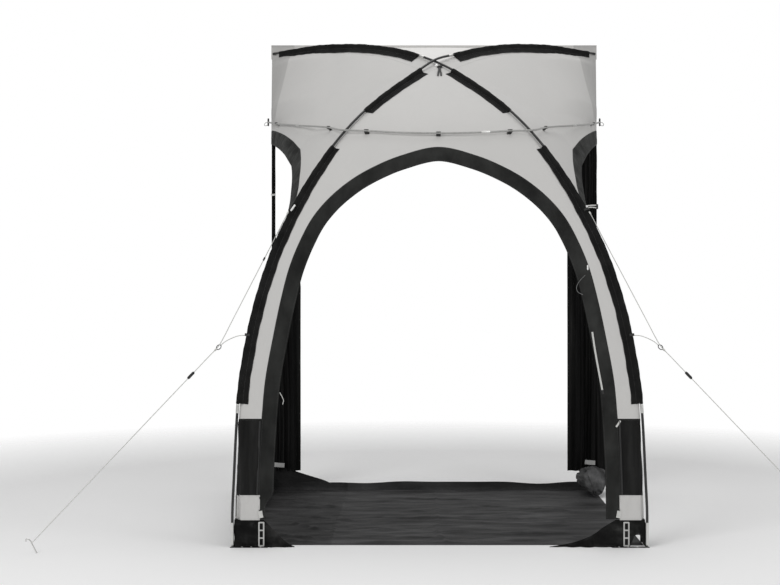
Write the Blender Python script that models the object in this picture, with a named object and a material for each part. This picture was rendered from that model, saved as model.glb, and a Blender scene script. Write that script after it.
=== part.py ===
"""Porch awning: two crossed arch poles and a brow pole over a sewn dome that closes against a wall rail.

X runs to the right as seen from the front, the doorway faces -Y, and Z is up from the ground.
The origin is on the ground, under the middle of the awning without its guy lines.
"""

import math

import bmesh
import bpy
import numpy as np
from mathutils import Matrix, Vector
from mathutils.geometry import tessellate_polygon

# Overall sizes
HALF_WIDTH = 0.962
DEPTH = 1.80
ARCH_HEIGHT = 2.576
TOUCH_GAP = 0.0003
NORMAL_STEP = 0.0015
SHARP_DEG = 40
SEAM_GAP = 0.0004
FABRIC = 0.0016
LEG_SEAM_GAP = 0.0012

# Arch poles, their feet and ferrules
POLE_R = 0.00635
POLE_CLEAR = 0.0004
POLE_SIDES = 8
POLE_STEP = 0.105
ARCH_SPAN = 24
FERRULE_R = 0.0076
FERRULE_LOW = 0.621
FERRULE_HIGH = 0.663
CROSS_FERRULE_SHARES = (0.534, 0.545)
POLE_END_SHARE = 0.993
FOOT_R = 0.0076
FOOT_TIP_R = 0.0040
FOOT_TIP_HEIGHT = 0.0028
FOOT_SHOULDER = 0.012
FOOT_TOP = 0.115
FOOT_SOCKET_DEPTH = 0.053
FOOT_SIDES = 16
CROSSING_WIDTH_SHARE = 0.03
CROSSING_STOP_SHARES = (0.478, 0.5, 0.522)
# Run along the ground diagonal and rise, as shares of the diagonal and of the arch height
POLE_ARCH_SHARES = (
    (0, 0), (0, 0.0505), (0.0035, 0.125), (0.0125, 0.262), (0.036, 0.388), (0.075, 0.504),
    (0.13, 0.608), (0.20, 0.704), (0.29, 0.796), (0.39, 0.868), (0.50, 0.928), (0.62, 0.968),
    (0.75, 0.991), (0.87, 1.0), (1, 1.0),
)

# Pole sleeves, as shares of the run where each begins and ends
SLEEVE_WALL = 0.0010
SLEEVE_TAIL = 0.037
SLEEVE_TAIL_START = 0.013
SLEEVE_TAIL_LIFT = 0.0008
REAR_TAIL_LIFT = 0.0026
SLEEVE_CLEAR = 0.0006
SLEEVE_TOP_DEG = 25
SLEEVE_LOW_DEGS = (270, 372)
SLEEVE_HUMP_POINTS = 9
SLEEVE_SCAN_DEG = 3
SLEEVE_LOW = 0.665
LOWER_SLEEVE_END_SHARE = 0.229
UPPER_SLEEVE_SHARES = (0.310, 0.456)
REAR_SLEEVE_SHARES = (0.550, 0.972)

# The sewn dome
RIDGE_DROP = 0.0122
FRONT_BULGE = 0.13
SIDE_BULGE = 0.08
BULGE_RUN_SHARE = 0.25
BULGE_WIDTH_SHARE = 0.12
APEX_STOP_SHARE = 0.006
LEG_TOP_SHARE = 0.229
PATCH_TOP = 0.237
MUD_FLAP_HEIGHT = 0.127
DOOR_TRIM_WIDTH = 0.068
ARCH_TRIM_WIDTH = 0.075
# Door outline from the middle of its top to its foot: shares of the half width and the arch height
DOOR_OUTLINE_SHARES = (
    (0, 0.730), (0.187, 0.714), (0.312, 0.695), (0.426, 0.671), (0.540, 0.636), (0.624, 0.598),
    (0.681, 0.557), (0.734, 0.505), (0.771, 0.448), (0.803, 0.386), (0.842, 0.300),
    (0.858, LEG_TOP_SHARE), (0.870, 0.140), (0.873, 0.0505),
)
# Side arch from the wall to its front foot: shares of the depth from the wall and the arch height
ARCH_OUTLINE_SHARES = (
    (0, 0.821), (0.07, 0.8175), (0.225, 0.803), (0.336, 0.788), (0.42, 0.771), (0.48, 0.753),
    (0.52, 0.7395), (0.564, 0.724), (0.614, 0.704), (0.67, 0.680), (0.742, 0.652),
    (0.824, 0.612), (0.869, 0.556), (0.909, 0.466), (0.938, 0.349), (0.953, LEG_TOP_SHARE),
    (0.962, 0.140), (0.964, 0.0505),
)
# Front wing of the mud flap: shares of the half width and of the flap's height
MUD_WING_SHARES = ((0.53, 0.08), (0.62, 0.16), (0.72, 0.38), (0.80, 0.78), (0.85, 1.0))
MUD_LEFT_WING_SHARES = ((0.70, 0.08), (0.73, 0.16), (0.77, 0.38), (0.82, 0.78), (0.85, 1.0))

MUD_ROW_SHARES = (0, 0.5, 1)
MUD_SIDE_SHARES = (0.06, 0.25, 0.5, 0.75, 1.0)
MUD_RETURN_SHARES = (0.03, 0.08)
# How finely the cloth is drawn
OUTLINE_SPAN = 6
DOOR_UPPER_POINTS = 28
ARCH_UPPER_POINTS = 31
REAR_RIDGE_POINTS = 11
FRONT_RIDGE_FINE_POINTS = 80
FRONT_COLUMN_SHARES = (0, 0.33, 0.67, 1)
SIDE_COLUMN_SHARES = (0, 0.25, 0.5, 0.75, 1)
RIDGE_COLUMN = 0.040
ROOF_COLUMN_SHARES = (-1, -0.6, -0.2, 0.2, 0.6, 1)
LEG_PANEL_ROWS = 5
LEG_PATCH_ROWS = 3

# Rail bead on its tape
BEAD_R = 0.0035
TAPE_HEIGHT = 0.058
TAPE_UNDERLAP = 0.020
BEAD_SIDES = 10

# Flaps that hang along the wall
FLAP_WIDTH = 0.172
FLAP_FOLD = 0.011
FLAP_FOLDS = 3.5
FLAP_COLUMNS = 15
FLAP_LOW_ROWS = 4
FLAP_SETBACK = 0.022
FLAP_HEM = 0.115
FLAP_TOP_SHARE = 0.8094
LEFT_FLAP_NARROW = 0.022
LEFT_FLAP_SLOPE_SHARES = (0.466, 0.590)

# Groundsheet and the gathered door panel
SHEET_THICK = 0.004
SHEET_FRONT_INSET = 0.055
SHEET_REAR_INSET = 0.030
SHEET_LIP = 0.052
BUNDLE_LENGTH = 0.25
BUNDLE_WIDTH = 0.25
BUNDLE_HEIGHT = 0.178
BUNDLE_OVERHANG = 0.09
BUNDLE_FOLD_SHARE = 0.13
BUNDLE_REAR_INSET = 0.08
BUNDLE_FOLDS = 2.5
BUNDLE_STOPS = 12
BUNDLE_SIDES = 14
# How high and how wide the bundle is along it, as shares of its length and of its full size
BUNDLE_CREST_SHARES = ((0, 0.72), (0.25, 1.0), (0.60, 0.96), (0.85, 0.62), (1, 0.30))
BUNDLE_WIDTH_SHARES = ((0, 0.85), (0.25, 1.0), (0.60, 0.86), (0.85, 0.58), (1, 0.32))

# Brow pole, its end bars and clips
BROW_R = 0.00475
BROW_SIDES = 8
BROW_STAND = 0.0196
BROW_HEIGHT_SHARE = 0.7671
BROW_DIP = 0.034
BROW_END_HEIGHT_SHARE = 0.8424
BROW_END_INSET = 0.022
BROW_FERRULE_R = 0.0062
BROW_FERRULE_LENGTH = 0.045
BROW_SIDE_SHARES = (1.0, 0.86, 0.71, 0.43, 0.17)
BROW_FRONT_SHARES = (-0.74, -0.38, 0.0, 0.38, 0.74)
BROW_SPAN = 3
# Which points of the brow pole's line carry a clip
BROW_CLIP_STOPS = (2, 4, 6, 8, 10, 12, 14)
BROW_JOINT_POINT = 10
BROW_BAR_LENGTH = 0.046
BROW_BAR_R = 0.005
BROW_BAR_SIDES = 10
# How far along its half length, and how thick, at each of its points
BAR_SHAPE_SHARES = ((-1, 0.5), (-0.85, 1), (0.85, 1), (1, 0.5))
CLIP_WALL = 0.0026
CLIP_CLEAR = 0.0004
CLIP_LENGTH = 0.022
CLIP_FOOT_HALF_DEG = 14.0
CLIP_RIM_DEGS = (180, 145, 110, 75, 45, 32)
CLIP_LIP_DEGS = (-32, -60, -90)
CLIP_BORE_DEGS = (-90, -45, 0, 45, 90, 135, 180)

# Crossing tape, door toggle
TIE_WIDTH = 0.018
TIE_LENGTH = 0.060
TIE_OFFSET = 0.018
TIE_STAND = 0.0006
TIE_ROWS = 4
TOGGLE_R = 0.004
TOGGLE_LENGTH = 0.024
TOGGLE_HEIGHT = 1.309
# How far along its length, and how thick, at each of its points
TOGGLE_SHAPE_SHARES = ((0, 0.6), (0.12, 1), (0.88, 1), (1, 0.6))

# Peg ladders and foot straps
LADDER_WIDTH = 0.028
LADDER_HEIGHT = 0.114
LADDER_THICK = 0.003
LADDER_BAR = 0.0062
LADDER_SLOTS = 3
LEFT_LADDER_X_SHARE = 0.8607
RIGHT_LADDER_X_SHARE = 0.9010
LADDER_GAP = 0.0008
LADDER_LIFT = 0.0032
STRAP_THICK = 0.0020
STRAP_FRONT = 0.0125
STRAP_REAR = 0.0074
STRAP_OUTER = 0.010
STRAP_LENGTH = 0.165
STRAP_HOLE_R = 0.0048
STRAP_HOLE_SIDES = 12

# Guy lines: the left one's route, chosen by hand, and what is on it
GUY_R = 0.0020
GUY_SPAN = 3
GUY_RING_R = 0.013
GUY_RING_WIRE_R = 0.0022
GUY_RING_STOP = 8
GUY_RING_AROUND_SIDES = 16
GUY_RING_SIDES = 6
GUY_SIDES = 12
GUY_ROUTE = (
    (-0.7222, -0.6646, 1.5670), (-0.7408, -0.6763, 1.5300), (-0.7830, -0.7045, 1.4400),
    (-0.8310, -0.7370, 1.3400), (-0.8790, -0.7695, 1.2400), (-0.9270, -0.8020, 1.1400),
    (-0.9750, -0.8345, 1.0400), (-1.0080, -0.8585, 0.9700), (-1.0300, -0.8750, 0.9300),
    (-1.0710, -0.8832, 0.8860), (-1.1120, -0.8914, 0.8420), (-1.1940, -0.9078, 0.7540),
    (-1.2760, -0.9242, 0.6660), (-1.3580, -0.9406, 0.5780), (-1.4400, -0.9570, 0.4900),
    (-1.5220, -0.9734, 0.4020), (-1.6040, -0.9898, 0.3140), (-1.6860, -1.0062, 0.2260),
    (-1.7680, -1.0226, 0.1380), (-1.8500, -1.0390, 0.0500),
)
BRANCH_ROUTE = (
    (-0.9042, -0.8344, 0.9786), (-0.9149, -0.8368, 0.9809), (-0.9400, -0.8440, 0.9790),
    (-0.9720, -0.8560, 0.9675), (-1.0014, -0.8700, 0.9508), (-1.0164, -0.8708, 0.9376),
)
RUNNER_LENGTH = 0.042
RUNNER_WIDTH = 0.013
RUNNER_THICK = 0.0095
RUNNER_CLEAR = 0.0007
RUNNER_SIDES = 8
RUNNER_SHAPE_SHARES = ((-1, 0.7), (-0.7, 1), (0.7, 1), (1, 0.7))
RUNNER_AT = (-1.1530, -0.8996, 0.7980)
PEG_R = 0.003
PEG_HEIGHT = 0.062
PEG_LEAN = 0.030
PEG_HOOK = 0.022
# The hook's bend past the peg's top: shares of half the hook, upwards and away from the line
HOOK_SHAPE_SHARES = ((0.8, 0.4), (1, 1), (0.6, 1.6), (-0.2, 1.9))

FRONT_Y = -(DEPTH - STRAP_FRONT) / 2
REAR_Y = FRONT_Y + DEPTH
MID_Y = (FRONT_Y + REAR_Y) / 2
DIAGONAL = math.hypot(2 * HALF_WIDTH, DEPTH)
SLEEVE_R = POLE_R + POLE_CLEAR + SLEEVE_WALL
CLOTH_REAR_Y = REAR_Y - BEAD_R - FABRIC / 2 - TOUCH_GAP
LEG_TOP = LEG_TOP_SHARE * ARCH_HEIGHT
BROW_HEIGHT = BROW_HEIGHT_SHARE * ARCH_HEIGHT
BROW_END_HEIGHT = BROW_END_HEIGHT_SHARE * ARCH_HEIGHT
LADDER_X = {"left": LEFT_LADDER_X_SHARE * HALF_WIDTH, "right": RIGHT_LADDER_X_SHARE * HALF_WIDTH}
FLAP_TOP = FLAP_TOP_SHARE * ARCH_HEIGHT
SIDES = {"left": -1, "right": 1}

CLOTH_GREY = ("pale_cloth", (0.62, 0.62, 0.61), 0.85, 0.0)
CLOTH_BLACK = ("black_cloth", (0.015, 0.015, 0.016), 0.85, 0.0)
CLOTH_DARK = ("dark_trim_cloth", (0.045, 0.047, 0.048), 0.85, 0.0)
SHEET_GREY = ("groundsheet_cloth", (0.075, 0.075, 0.078), 0.7, 0.0)
POLE_BLACK = ("black_fibreglass", (0.012, 0.012, 0.012), 0.35, 0.0)
BROW_GREY = ("grey_fibreglass", (0.42, 0.42, 0.40), 0.35, 0.2)
STEEL = ("bright_steel", (0.70, 0.70, 0.68), 0.3, 1.0)
PLASTIC = ("black_plastic", (0.012, 0.012, 0.012), 0.45, 0.0)
RING_GREY = ("dark_ring", (0.10, 0.10, 0.105), 0.4, 0.6)
CORD_PALE = ("pale_cord", (0.66, 0.67, 0.64), 0.8, 0.0)
LADDER_GREY = ("pale_plastic", (0.42, 0.42, 0.42), 0.5, 0.0)
WEBBING = ("black_webbing", (0.02, 0.02, 0.02), 0.8, 0.0)


def clear_scene():
    for item in list(bpy.data.objects):
        bpy.data.objects.remove(item, do_unlink=True)


def material(finish):
    name, colour, roughness, metallic = finish
    made = bpy.data.materials.new(name)
    made.use_nodes = True
    shader = made.node_tree.nodes["Principled BSDF"]
    shader.inputs["Base Color"].default_value = (*colour, 1.0)
    shader.inputs["Roughness"].default_value = roughness
    shader.inputs["Metallic"].default_value = metallic
    return made


def add_object(name, verts, faces, finish, smooth=True):
    mesh = bpy.data.meshes.new(name)
    mesh.from_pydata([tuple(v) for v in verts], [], faces)
    shape = bmesh.new()
    shape.from_mesh(mesh)
    bmesh.ops.recalc_face_normals(shape, faces=shape.faces)
    if shape.calc_volume(signed=True) < 0:
        bmesh.ops.reverse_faces(shape, faces=shape.faces)
    shape.to_mesh(mesh)
    shape.free()
    mesh.materials.append(material(finish))
    if smooth:
        mesh.shade_smooth()
        mesh.set_sharp_from_angle(angle=math.radians(SHARP_DEG))
    made = bpy.data.objects.new(name, mesh)
    bpy.context.collection.objects.link(made)
    return made


def mirrored(points, side):
    """Points drawn for the left side, on the named side."""
    return [Vector((-side * p[0], p[1], p[2])) for p in points]


def monotone_curve(points, per_span):
    """A smooth curve through points that never overshoots them."""
    p = np.array(points, float)
    span = np.linalg.norm(np.diff(p, axis=0), axis=1)
    rise = np.diff(p, axis=0) / span[:, None]
    slope = np.zeros_like(p)
    slope[0], slope[-1] = rise[0], rise[-1]
    for k in range(1, len(p) - 1):
        before, after = 2 * span[k] + span[k - 1], span[k] + 2 * span[k - 1]
        for axis in range(p.shape[1]):
            a, b = rise[k - 1][axis], rise[k][axis]
            if a * b > 0:
                slope[k][axis] = (before + after) / (before / a + after / b)
    out = []
    for k in range(len(p) - 1):
        for u in np.linspace(0, 1, per_span, endpoint=False):
            start, end = 2 * u**3 - 3 * u**2 + 1, -2 * u**3 + 3 * u**2
            leave, arrive = u**3 - 2 * u**2 + u, u**3 - u**2
            out.append(
                start * p[k] + leave * span[k] * slope[k] + end * p[k + 1] + arrive * span[k] * slope[k + 1]
            )
    out.append(p[-1])
    return np.array(out)


def rounded_curve(points, per_span):
    """A smooth curve through every point, for outlines and for poles and cords in space."""
    p = [np.array(q, float) for q in points]
    p = [2 * p[0] - p[1], *p, 2 * p[-1] - p[-2]]
    out = []
    for a, b, c, d in zip(p, p[1:], p[2:], p[3:]):
        knots = [0.0]
        for q, r in ((a, b), (b, c), (c, d)):
            knots.append(knots[-1] + math.sqrt(np.linalg.norm(r - q)))
        t0, t1, t2, t3 = knots
        for t in np.linspace(t1, t2, per_span, endpoint=False):
            u = (t1 - t) / (t1 - t0) * a + (t - t0) / (t1 - t0) * b
            v = (t2 - t) / (t2 - t1) * b + (t - t1) / (t2 - t1) * c
            w = (t3 - t) / (t3 - t2) * c + (t - t2) / (t3 - t2) * d
            x = (t2 - t) / (t2 - t0) * u + (t - t0) / (t2 - t0) * v
            y = (t3 - t) / (t3 - t1) * v + (t - t1) / (t3 - t1) * w
            out.append((t2 - t) / (t2 - t1) * x + (t - t1) / (t2 - t1) * y)
    out.append(p[-2])
    return out


# The arch pole in its own upright plane, and the cloth's ridge just inside it
POLE_PLANE = monotone_curve([(a * DIAGONAL, b * ARCH_HEIGHT) for a, b in POLE_ARCH_SHARES], ARCH_SPAN)
POLE_HEADING = np.gradient(POLE_PLANE, axis=0)
POLE_HEADING /= np.linalg.norm(POLE_HEADING, axis=1)[:, None]
RIDGE_PLANE = POLE_PLANE + RIDGE_DROP * np.stack([POLE_HEADING[:, 1], -POLE_HEADING[:, 0]], axis=1)
POLE_ARC = np.concatenate([[0], np.cumsum(np.linalg.norm(np.diff(POLE_PLANE, axis=0), axis=1))])
FRONT_HALF = RIDGE_PLANE[:, 0] < (0.5 + BULGE_WIDTH_SHARE / 2) * DIAGONAL


def ridge_share(height):
    """How far along the diagonal the cloth's ridge is at a height, on the front half."""
    return float(np.interp(height, RIDGE_PLANE[FRONT_HALF, 1], RIDGE_PLANE[FRONT_HALF, 0])) / DIAGONAL


def ridge_height(share):
    return float(np.interp(share * DIAGONAL, RIDGE_PLANE[:, 0], RIDGE_PLANE[:, 1]))


APEX = ridge_height(0.5)


def swell(share):
    return math.exp(-(((share - BULGE_RUN_SHARE) / BULGE_WIDTH_SHARE) ** 2))


def front_y(x, z):
    """The front cloth's outer face: upright rulings between the two poles, pushed out by the brow."""
    share = min(ridge_share(z), 0.5)
    limit = max(HALF_WIDTH * (1 - 2 * share), HALF_WIDTH * APEX_STOP_SHARE)
    across = max(-1.0, min(1.0, x / limit))
    return FRONT_Y + DEPTH * share - FRONT_BULGE * (1 - across * across) * swell(share)


def side_x(y, z):
    """How far out the side cloth's outer face is, between the front pole and the wall."""
    top = ridge_height(max(0.0, min(1.0, (y - FRONT_Y) / DEPTH)))
    lowered = z * APEX / top if y > MID_Y else z
    share = min(ridge_share(min(lowered, APEX)), 0.5)
    front_x, start_y = HALF_WIDTH * (1 - 2 * share), FRONT_Y + DEPTH * share
    along = max(0.0, min(1.0, (y - start_y) / (REAR_Y - start_y)))
    swelling = SIDE_BULGE * 4 * along * (1 - along) * swell(share)
    return front_x + (HALF_WIDTH - front_x) * along + swelling


def on_front(x, z):
    return Vector((x, front_y(x, z), z))


def on_side(side, y, z):
    return Vector((side * side_x(y, z), y, z))


def face_normal(place, a, b, step=NORMAL_STEP):
    """The outward normal of a surface function at its parameters a and b."""
    along_a = place(a + step, b) - place(a - step, b)
    along_b = place(a, b + step) - place(a, b - step)
    normal = along_a.cross(along_b).normalized()
    middle = Vector((0, MID_Y, APEX / 2))
    return normal if normal.dot(place(a, b) - middle) > 0 else -normal


def front_spot(x, z):
    return on_front(x, z), face_normal(on_front, x, z)


def side_spot(side, y, z):
    def place(a, b):
        return on_side(side, a, b)
    return place(y, z), face_normal(place, y, z)


def corner_spot(side, z):
    """The cloth's upright edge at an arch pole, with the sum of both faces' normals for its mitre."""
    share = ridge_share(z)
    x, y = side * HALF_WIDTH * (1 - 2 * share), FRONT_Y + DEPTH * share
    return Vector((x, y, z)), front_spot(x, z)[1] + side_spot(side, y, z)[1]


def keep_in(zone, point, inner):
    """Hold a cloth edge on its own side of the upright planes that the two arch poles stand in."""
    slope = 2 * HALF_WIDTH / DEPTH
    plan = slope * abs(point.y - MID_Y)
    sign = 1 if point.x >= 0 else -1
    if zone in ("front", "roof"):
        point.x = sign * min(abs(point.x), max(plan - SEAM_GAP * slope, 0))
    if zone == "side" and point.y > MID_Y and abs(point.x) < plan + FABRIC * slope:
        roof = ridge_height(min(1.0, (point.y - FRONT_Y) / DEPTH))
        point.z = min(point.z, roof - FABRIC - 2 * SEAM_GAP)
    elif zone == "side" and abs(point.x) < plan + SEAM_GAP * slope:
        if inner:
            point.y = MID_Y - max(abs(point.x) / slope - SEAM_GAP, 0)
        else:
            point.x = sign * (plan + SEAM_GAP * slope)
    point.y = min(point.y, CLOTH_REAR_Y)
    point.z = max(point.z, 0.0)
    return point


def sheet_solid(name, rows, finish, thickness=FABRIC, zone=None, outward=None, smooth=True):
    """A closed skin: rows of points are its outer face, and its wall goes inwards."""
    high, wide = len(rows), len(rows[0])
    if outward:
        grid = np.array([[tuple(p) for p in row] for row in rows])
        normal = np.cross(np.gradient(grid, axis=0), np.gradient(grid, axis=1))
        normal /= np.linalg.norm(normal, axis=2)[:, :, None]
        if float(np.dot(normal[high // 2, wide // 2], np.array(outward))) < 0:
            normal = -normal
    else:
        grid = np.array([[tuple(p) for p, _ in row] for row in rows])
        normal = np.array([[tuple(n) for _, n in row] for row in rows])
    verts = [keep_in(zone, Vector(p), False) for p in grid.reshape(-1, 3)]
    inner = np.array([tuple(v) for v in verts]) - normal.reshape(-1, 3) * thickness
    verts += [keep_in(zone, Vector(p), True) for p in inner]
    back = high * wide
    faces = []

    def corner(i, j):
        return i * wide + j

    for i in range(high - 1):
        for j in range(wide - 1):
            a, b, c, d = corner(i, j), corner(i + 1, j), corner(i + 1, j + 1), corner(i, j + 1)
            if (verts[a] - verts[c]).length > (verts[b] - verts[d]).length + TOUCH_GAP:
                a, b, c, d = b, c, d, a
            faces += [(a, b, c), (a, c, d)]
            faces += [(back + c, back + b, back + a), (back + d, back + c, back + a)]
    rim = [corner(0, j) for j in range(wide)]
    rim += [corner(i, wide - 1) for i in range(1, high)]
    rim += [corner(high - 1, j) for j in range(wide - 2, -1, -1)]
    rim += [corner(i, 0) for i in range(high - 2, 0, -1)]
    for a, b in zip(rim, rim[1:] + rim[:1]):
        faces.append((a, b, back + b, back + a))
    return add_object(name, verts, faces, finish, smooth)


def frames_along(centres):
    """Two axes square to a line at each of its points, turned as little as possible."""
    line = [Vector(c) for c in centres]
    headings = []
    for k in range(len(line)):
        ahead, behind = line[min(k + 1, len(line) - 1)], line[max(k - 1, 0)]
        headings.append((ahead - behind).normalized())
    first = headings[0]
    start = Vector((0, 0, 1)) if abs(first.z) < 0.9 else Vector((1, 0, 0))
    u = (start - first * start.dot(first)).normalized()
    out = []
    for heading in headings:
        u = (u - heading * u.dot(heading)).normalized()
        out.append((u, heading.cross(u)))
    return out


def rod(name, centres, radii, finish, sides=POLE_SIDES, axes=None):
    """A round bar along a line, with a radius at each point."""
    verts, faces = [], []
    for centre, radius, (u, v) in zip(centres, radii, axes or frames_along(centres)):
        for k in range(sides):
            turn = 2 * math.pi * k / sides
            verts.append(Vector(centre) + radius * (math.cos(turn) * u + math.sin(turn) * v))
    for i in range(len(centres) - 1):
        for k in range(sides):
            a, b = i * sides + k, i * sides + (k + 1) % sides
            faces.append((a, b, b + sides, a + sides))
    faces.append(tuple(range(sides)))
    last = (len(centres) - 1) * sides
    faces.append(tuple(last + k for k in range(sides)))
    return add_object(name, verts, faces, finish)


def loft(name, sections, finish, holes=None, smooth=True):
    """A solid through like outlines, with a bore through like holes if they are given."""
    verts, faces = [], []
    count = len(sections[0])
    bore = len(holes[0]) if holes else 0
    for k, section in enumerate(sections):
        verts += list(section) + (list(holes[k]) if holes else [])
    ring = count + bore
    for i in range(len(sections) - 1):
        for start, size in ((0, count), (count, bore)):
            for k in range(size):
                a, b = i * ring + start + k, i * ring + start + (k + 1) % size
                faces.append((a, b, b + ring))
                faces.append((a, b + ring, a + ring))
    for i in (0, len(sections) - 1):
        loops = [list(sections[i])] + ([list(holes[i])] if holes else [])
        for triangle in tessellate_polygon(loops):
            faces.append(tuple(i * ring + k for k in triangle))
    return add_object(name, verts, faces, finish, smooth)


def spun(name, profile, place, finish, sides=FOOT_SIDES):
    """A turned solid about an upright axis, from its radius and height profile."""
    verts, faces, rings = [], [], []
    for radius, height in profile:
        if radius == 0:
            rings.append([len(verts)])
            verts.append(Vector(place) + Vector((0, 0, height)))
            continue
        rings.append(list(range(len(verts), len(verts) + sides)))
        for k in range(sides):
            turn = 2 * math.pi * k / sides
            spoke = Vector((radius * math.cos(turn), radius * math.sin(turn), height))
            verts.append(Vector(place) + spoke)
    for low, high in zip(rings, rings[1:]):
        for k in range(sides):
            after = (k + 1) % sides
            a, b = low[k % len(low)], low[after % len(low)]
            c, d = high[after % len(high)], high[k % len(high)]
            faces.append(tuple(dict.fromkeys((a, b, c, d))))
    return add_object(name, verts, faces, finish)


def arc_at_height(height):
    rising = POLE_PLANE[:, 0] < 0.5 * DIAGONAL
    return float(np.interp(height, POLE_PLANE[rising, 1], POLE_ARC[rising]))


def arc_at_share(share):
    return float(np.interp(share * DIAGONAL, POLE_PLANE[:, 0], POLE_ARC))


def pole_point(side, arc):
    """The arch pole's centre line; the one from the left foot is lifted over the other at the crossing."""
    run = float(np.interp(arc, POLE_ARC, POLE_PLANE[:, 0]))
    rise = float(np.interp(arc, POLE_ARC, POLE_PLANE[:, 1]))
    share = run / DIAGONAL
    if side < 0:
        rise += CROSSING_LIFT * math.exp(-(((share - 0.5) / CROSSING_WIDTH_SHARE) ** 2))
    return Vector((side * HALF_WIDTH * (1 - 2 * share), FRONT_Y + DEPTH * share, rise))


def pole_axes(side, arc):
    """The pole's heading, and two axes square to it: level across its plane, and out of the arch."""
    step = POLE_STEP / 8
    heading = (pole_point(side, arc + step) - pole_point(side, arc - step)).normalized()
    level = Vector((DEPTH, side * 2 * HALF_WIDTH, 0)).normalized()
    return heading, level, heading.cross(level).normalized()


def arcs_between(low, high, step=POLE_STEP):
    count = max(2, math.ceil((high - low) / step) + 1)
    return list(np.linspace(low, high, count))


def pole_stations():
    """Shared points along the pole, so that a sleeve's bore bends where the pole does."""
    marks = [
        FOOT_TOP - FOOT_SOCKET_DEPTH + TOUCH_GAP,
        arc_at_height(FERRULE_LOW),
        arc_at_height(FERRULE_HIGH),
        arc_at_height(SLEEVE_LOW),
        arc_at_share(LOWER_SLEEVE_END_SHARE),
        arc_at_share(UPPER_SLEEVE_SHARES[0]),
        arc_at_share(UPPER_SLEEVE_SHARES[1]),
        *[arc_at_share(s) for s in CROSSING_STOP_SHARES],
        arc_at_share(CROSS_FERRULE_SHARES[0]),
        arc_at_share(CROSS_FERRULE_SHARES[1]),
        arc_at_share(REAR_SLEEVE_SHARES[0]),
        arc_at_share(REAR_SLEEVE_SHARES[1]),
        arc_at_share(POLE_END_SHARE),
    ]
    arcs = []
    for low, high in zip(marks, marks[1:]):
        arcs += arcs_between(low, high)[:-1]
    return arcs + [marks[-1]]


# How far one pole is lifted where they cross, so that they clear each other square to both
CROSSING_SLOPE = POLE_HEADING[np.argmin(abs(POLE_PLANE[:, 0] - DIAGONAL / 2))]
CROSSING_RUN = CROSSING_SLOPE[0] * DEPTH / DIAGONAL
CROSSING_TILT = CROSSING_RUN / math.hypot(CROSSING_RUN, CROSSING_SLOPE[1])
CROSSING_LIFT = (2 * POLE_R + POLE_CLEAR) / CROSSING_TILT
STATIONS = pole_stations()


def stations(low, high):
    return [a for a in STATIONS if low - TOUCH_GAP / 10 <= a <= high + TOUCH_GAP / 10]


def collared_rod(name, side, low, high, collar, finish):
    """A pole section whose far end carries its ferrule; collar is the arc where that begins."""
    centres, radii, axes = [], [], []
    for arc in stations(low, high):
        centres.append(pole_point(side, arc))
        axes.append(pole_axes(side, arc)[1:])
        radii.append(POLE_R)
        if collar and abs(arc - collar) < TOUCH_GAP:
            centres.append(pole_point(side, arc + TOUCH_GAP))
            axes.append(pole_axes(side, arc)[1:])
            radii.append(FERRULE_R)
        elif collar and arc > collar:
            radii[-1] = FERRULE_R
    heading = pole_axes(side, low)[0]
    centres[0] = centres[0] + heading * (TOUCH_GAP if low > STATIONS[0] else 0)
    return rod(name, centres, radii, finish, POLE_SIDES, axes)


def build_poles():
    cross_low, cross_high = (arc_at_share(s) for s in CROSS_FERRULE_SHARES)
    ferrule_low, ferrule_high = arc_at_height(FERRULE_LOW), arc_at_height(FERRULE_HIGH)
    for name, side in SIDES.items():
        collared_rod(f"{name}_pole_lower", side, STATIONS[0], ferrule_high, ferrule_low, POLE_BLACK)
        collared_rod(f"{name}_pole_middle", side, ferrule_high, cross_high, cross_low, POLE_BLACK)
        collared_rod(f"{name}_pole_rear", side, cross_high, STATIONS[-1], None, POLE_BLACK)
        floor = FOOT_TOP - FOOT_SOCKET_DEPTH
        bore = POLE_R + POLE_CLEAR
        profile = [
            (0, 0), (FOOT_TIP_R, 0), (FOOT_TIP_R, FOOT_TIP_HEIGHT), (FOOT_R, FOOT_SHOULDER),
            (FOOT_R, FOOT_TOP), (bore, FOOT_TOP), (bore, floor), (0, floor),
        ]
        spun(f"{name}_foot_tube", profile, (side * HALF_WIDTH, FRONT_Y, 0), STEEL)


def cloth_beside(side, ridge, heading, distance, on_the_side):
    """A point on the cloth at a distance from its ridge, with the way there and the outward normal."""
    def spot(p):
        return side_spot(side, p.y, p.z) if on_the_side else front_spot(p.x, p.z)

    near = ridge + Vector((0, -SLEEVE_TAIL_START, 0) if on_the_side else (0, 0, 0))
    if not on_the_side:
        near.x -= math.copysign(SLEEVE_TAIL_START, ridge.x)
    if on_the_side and ridge.y > MID_Y:
        near = ridge + Vector((0, 0, -SLEEVE_TAIL_START))
    inside, normal = spot(near)
    away = heading.cross(normal).normalized()
    if away.dot(inside - ridge) < 0:
        away = -away
    landed, landed_normal = spot(ridge + away * distance)
    return landed, away, landed_normal


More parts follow.
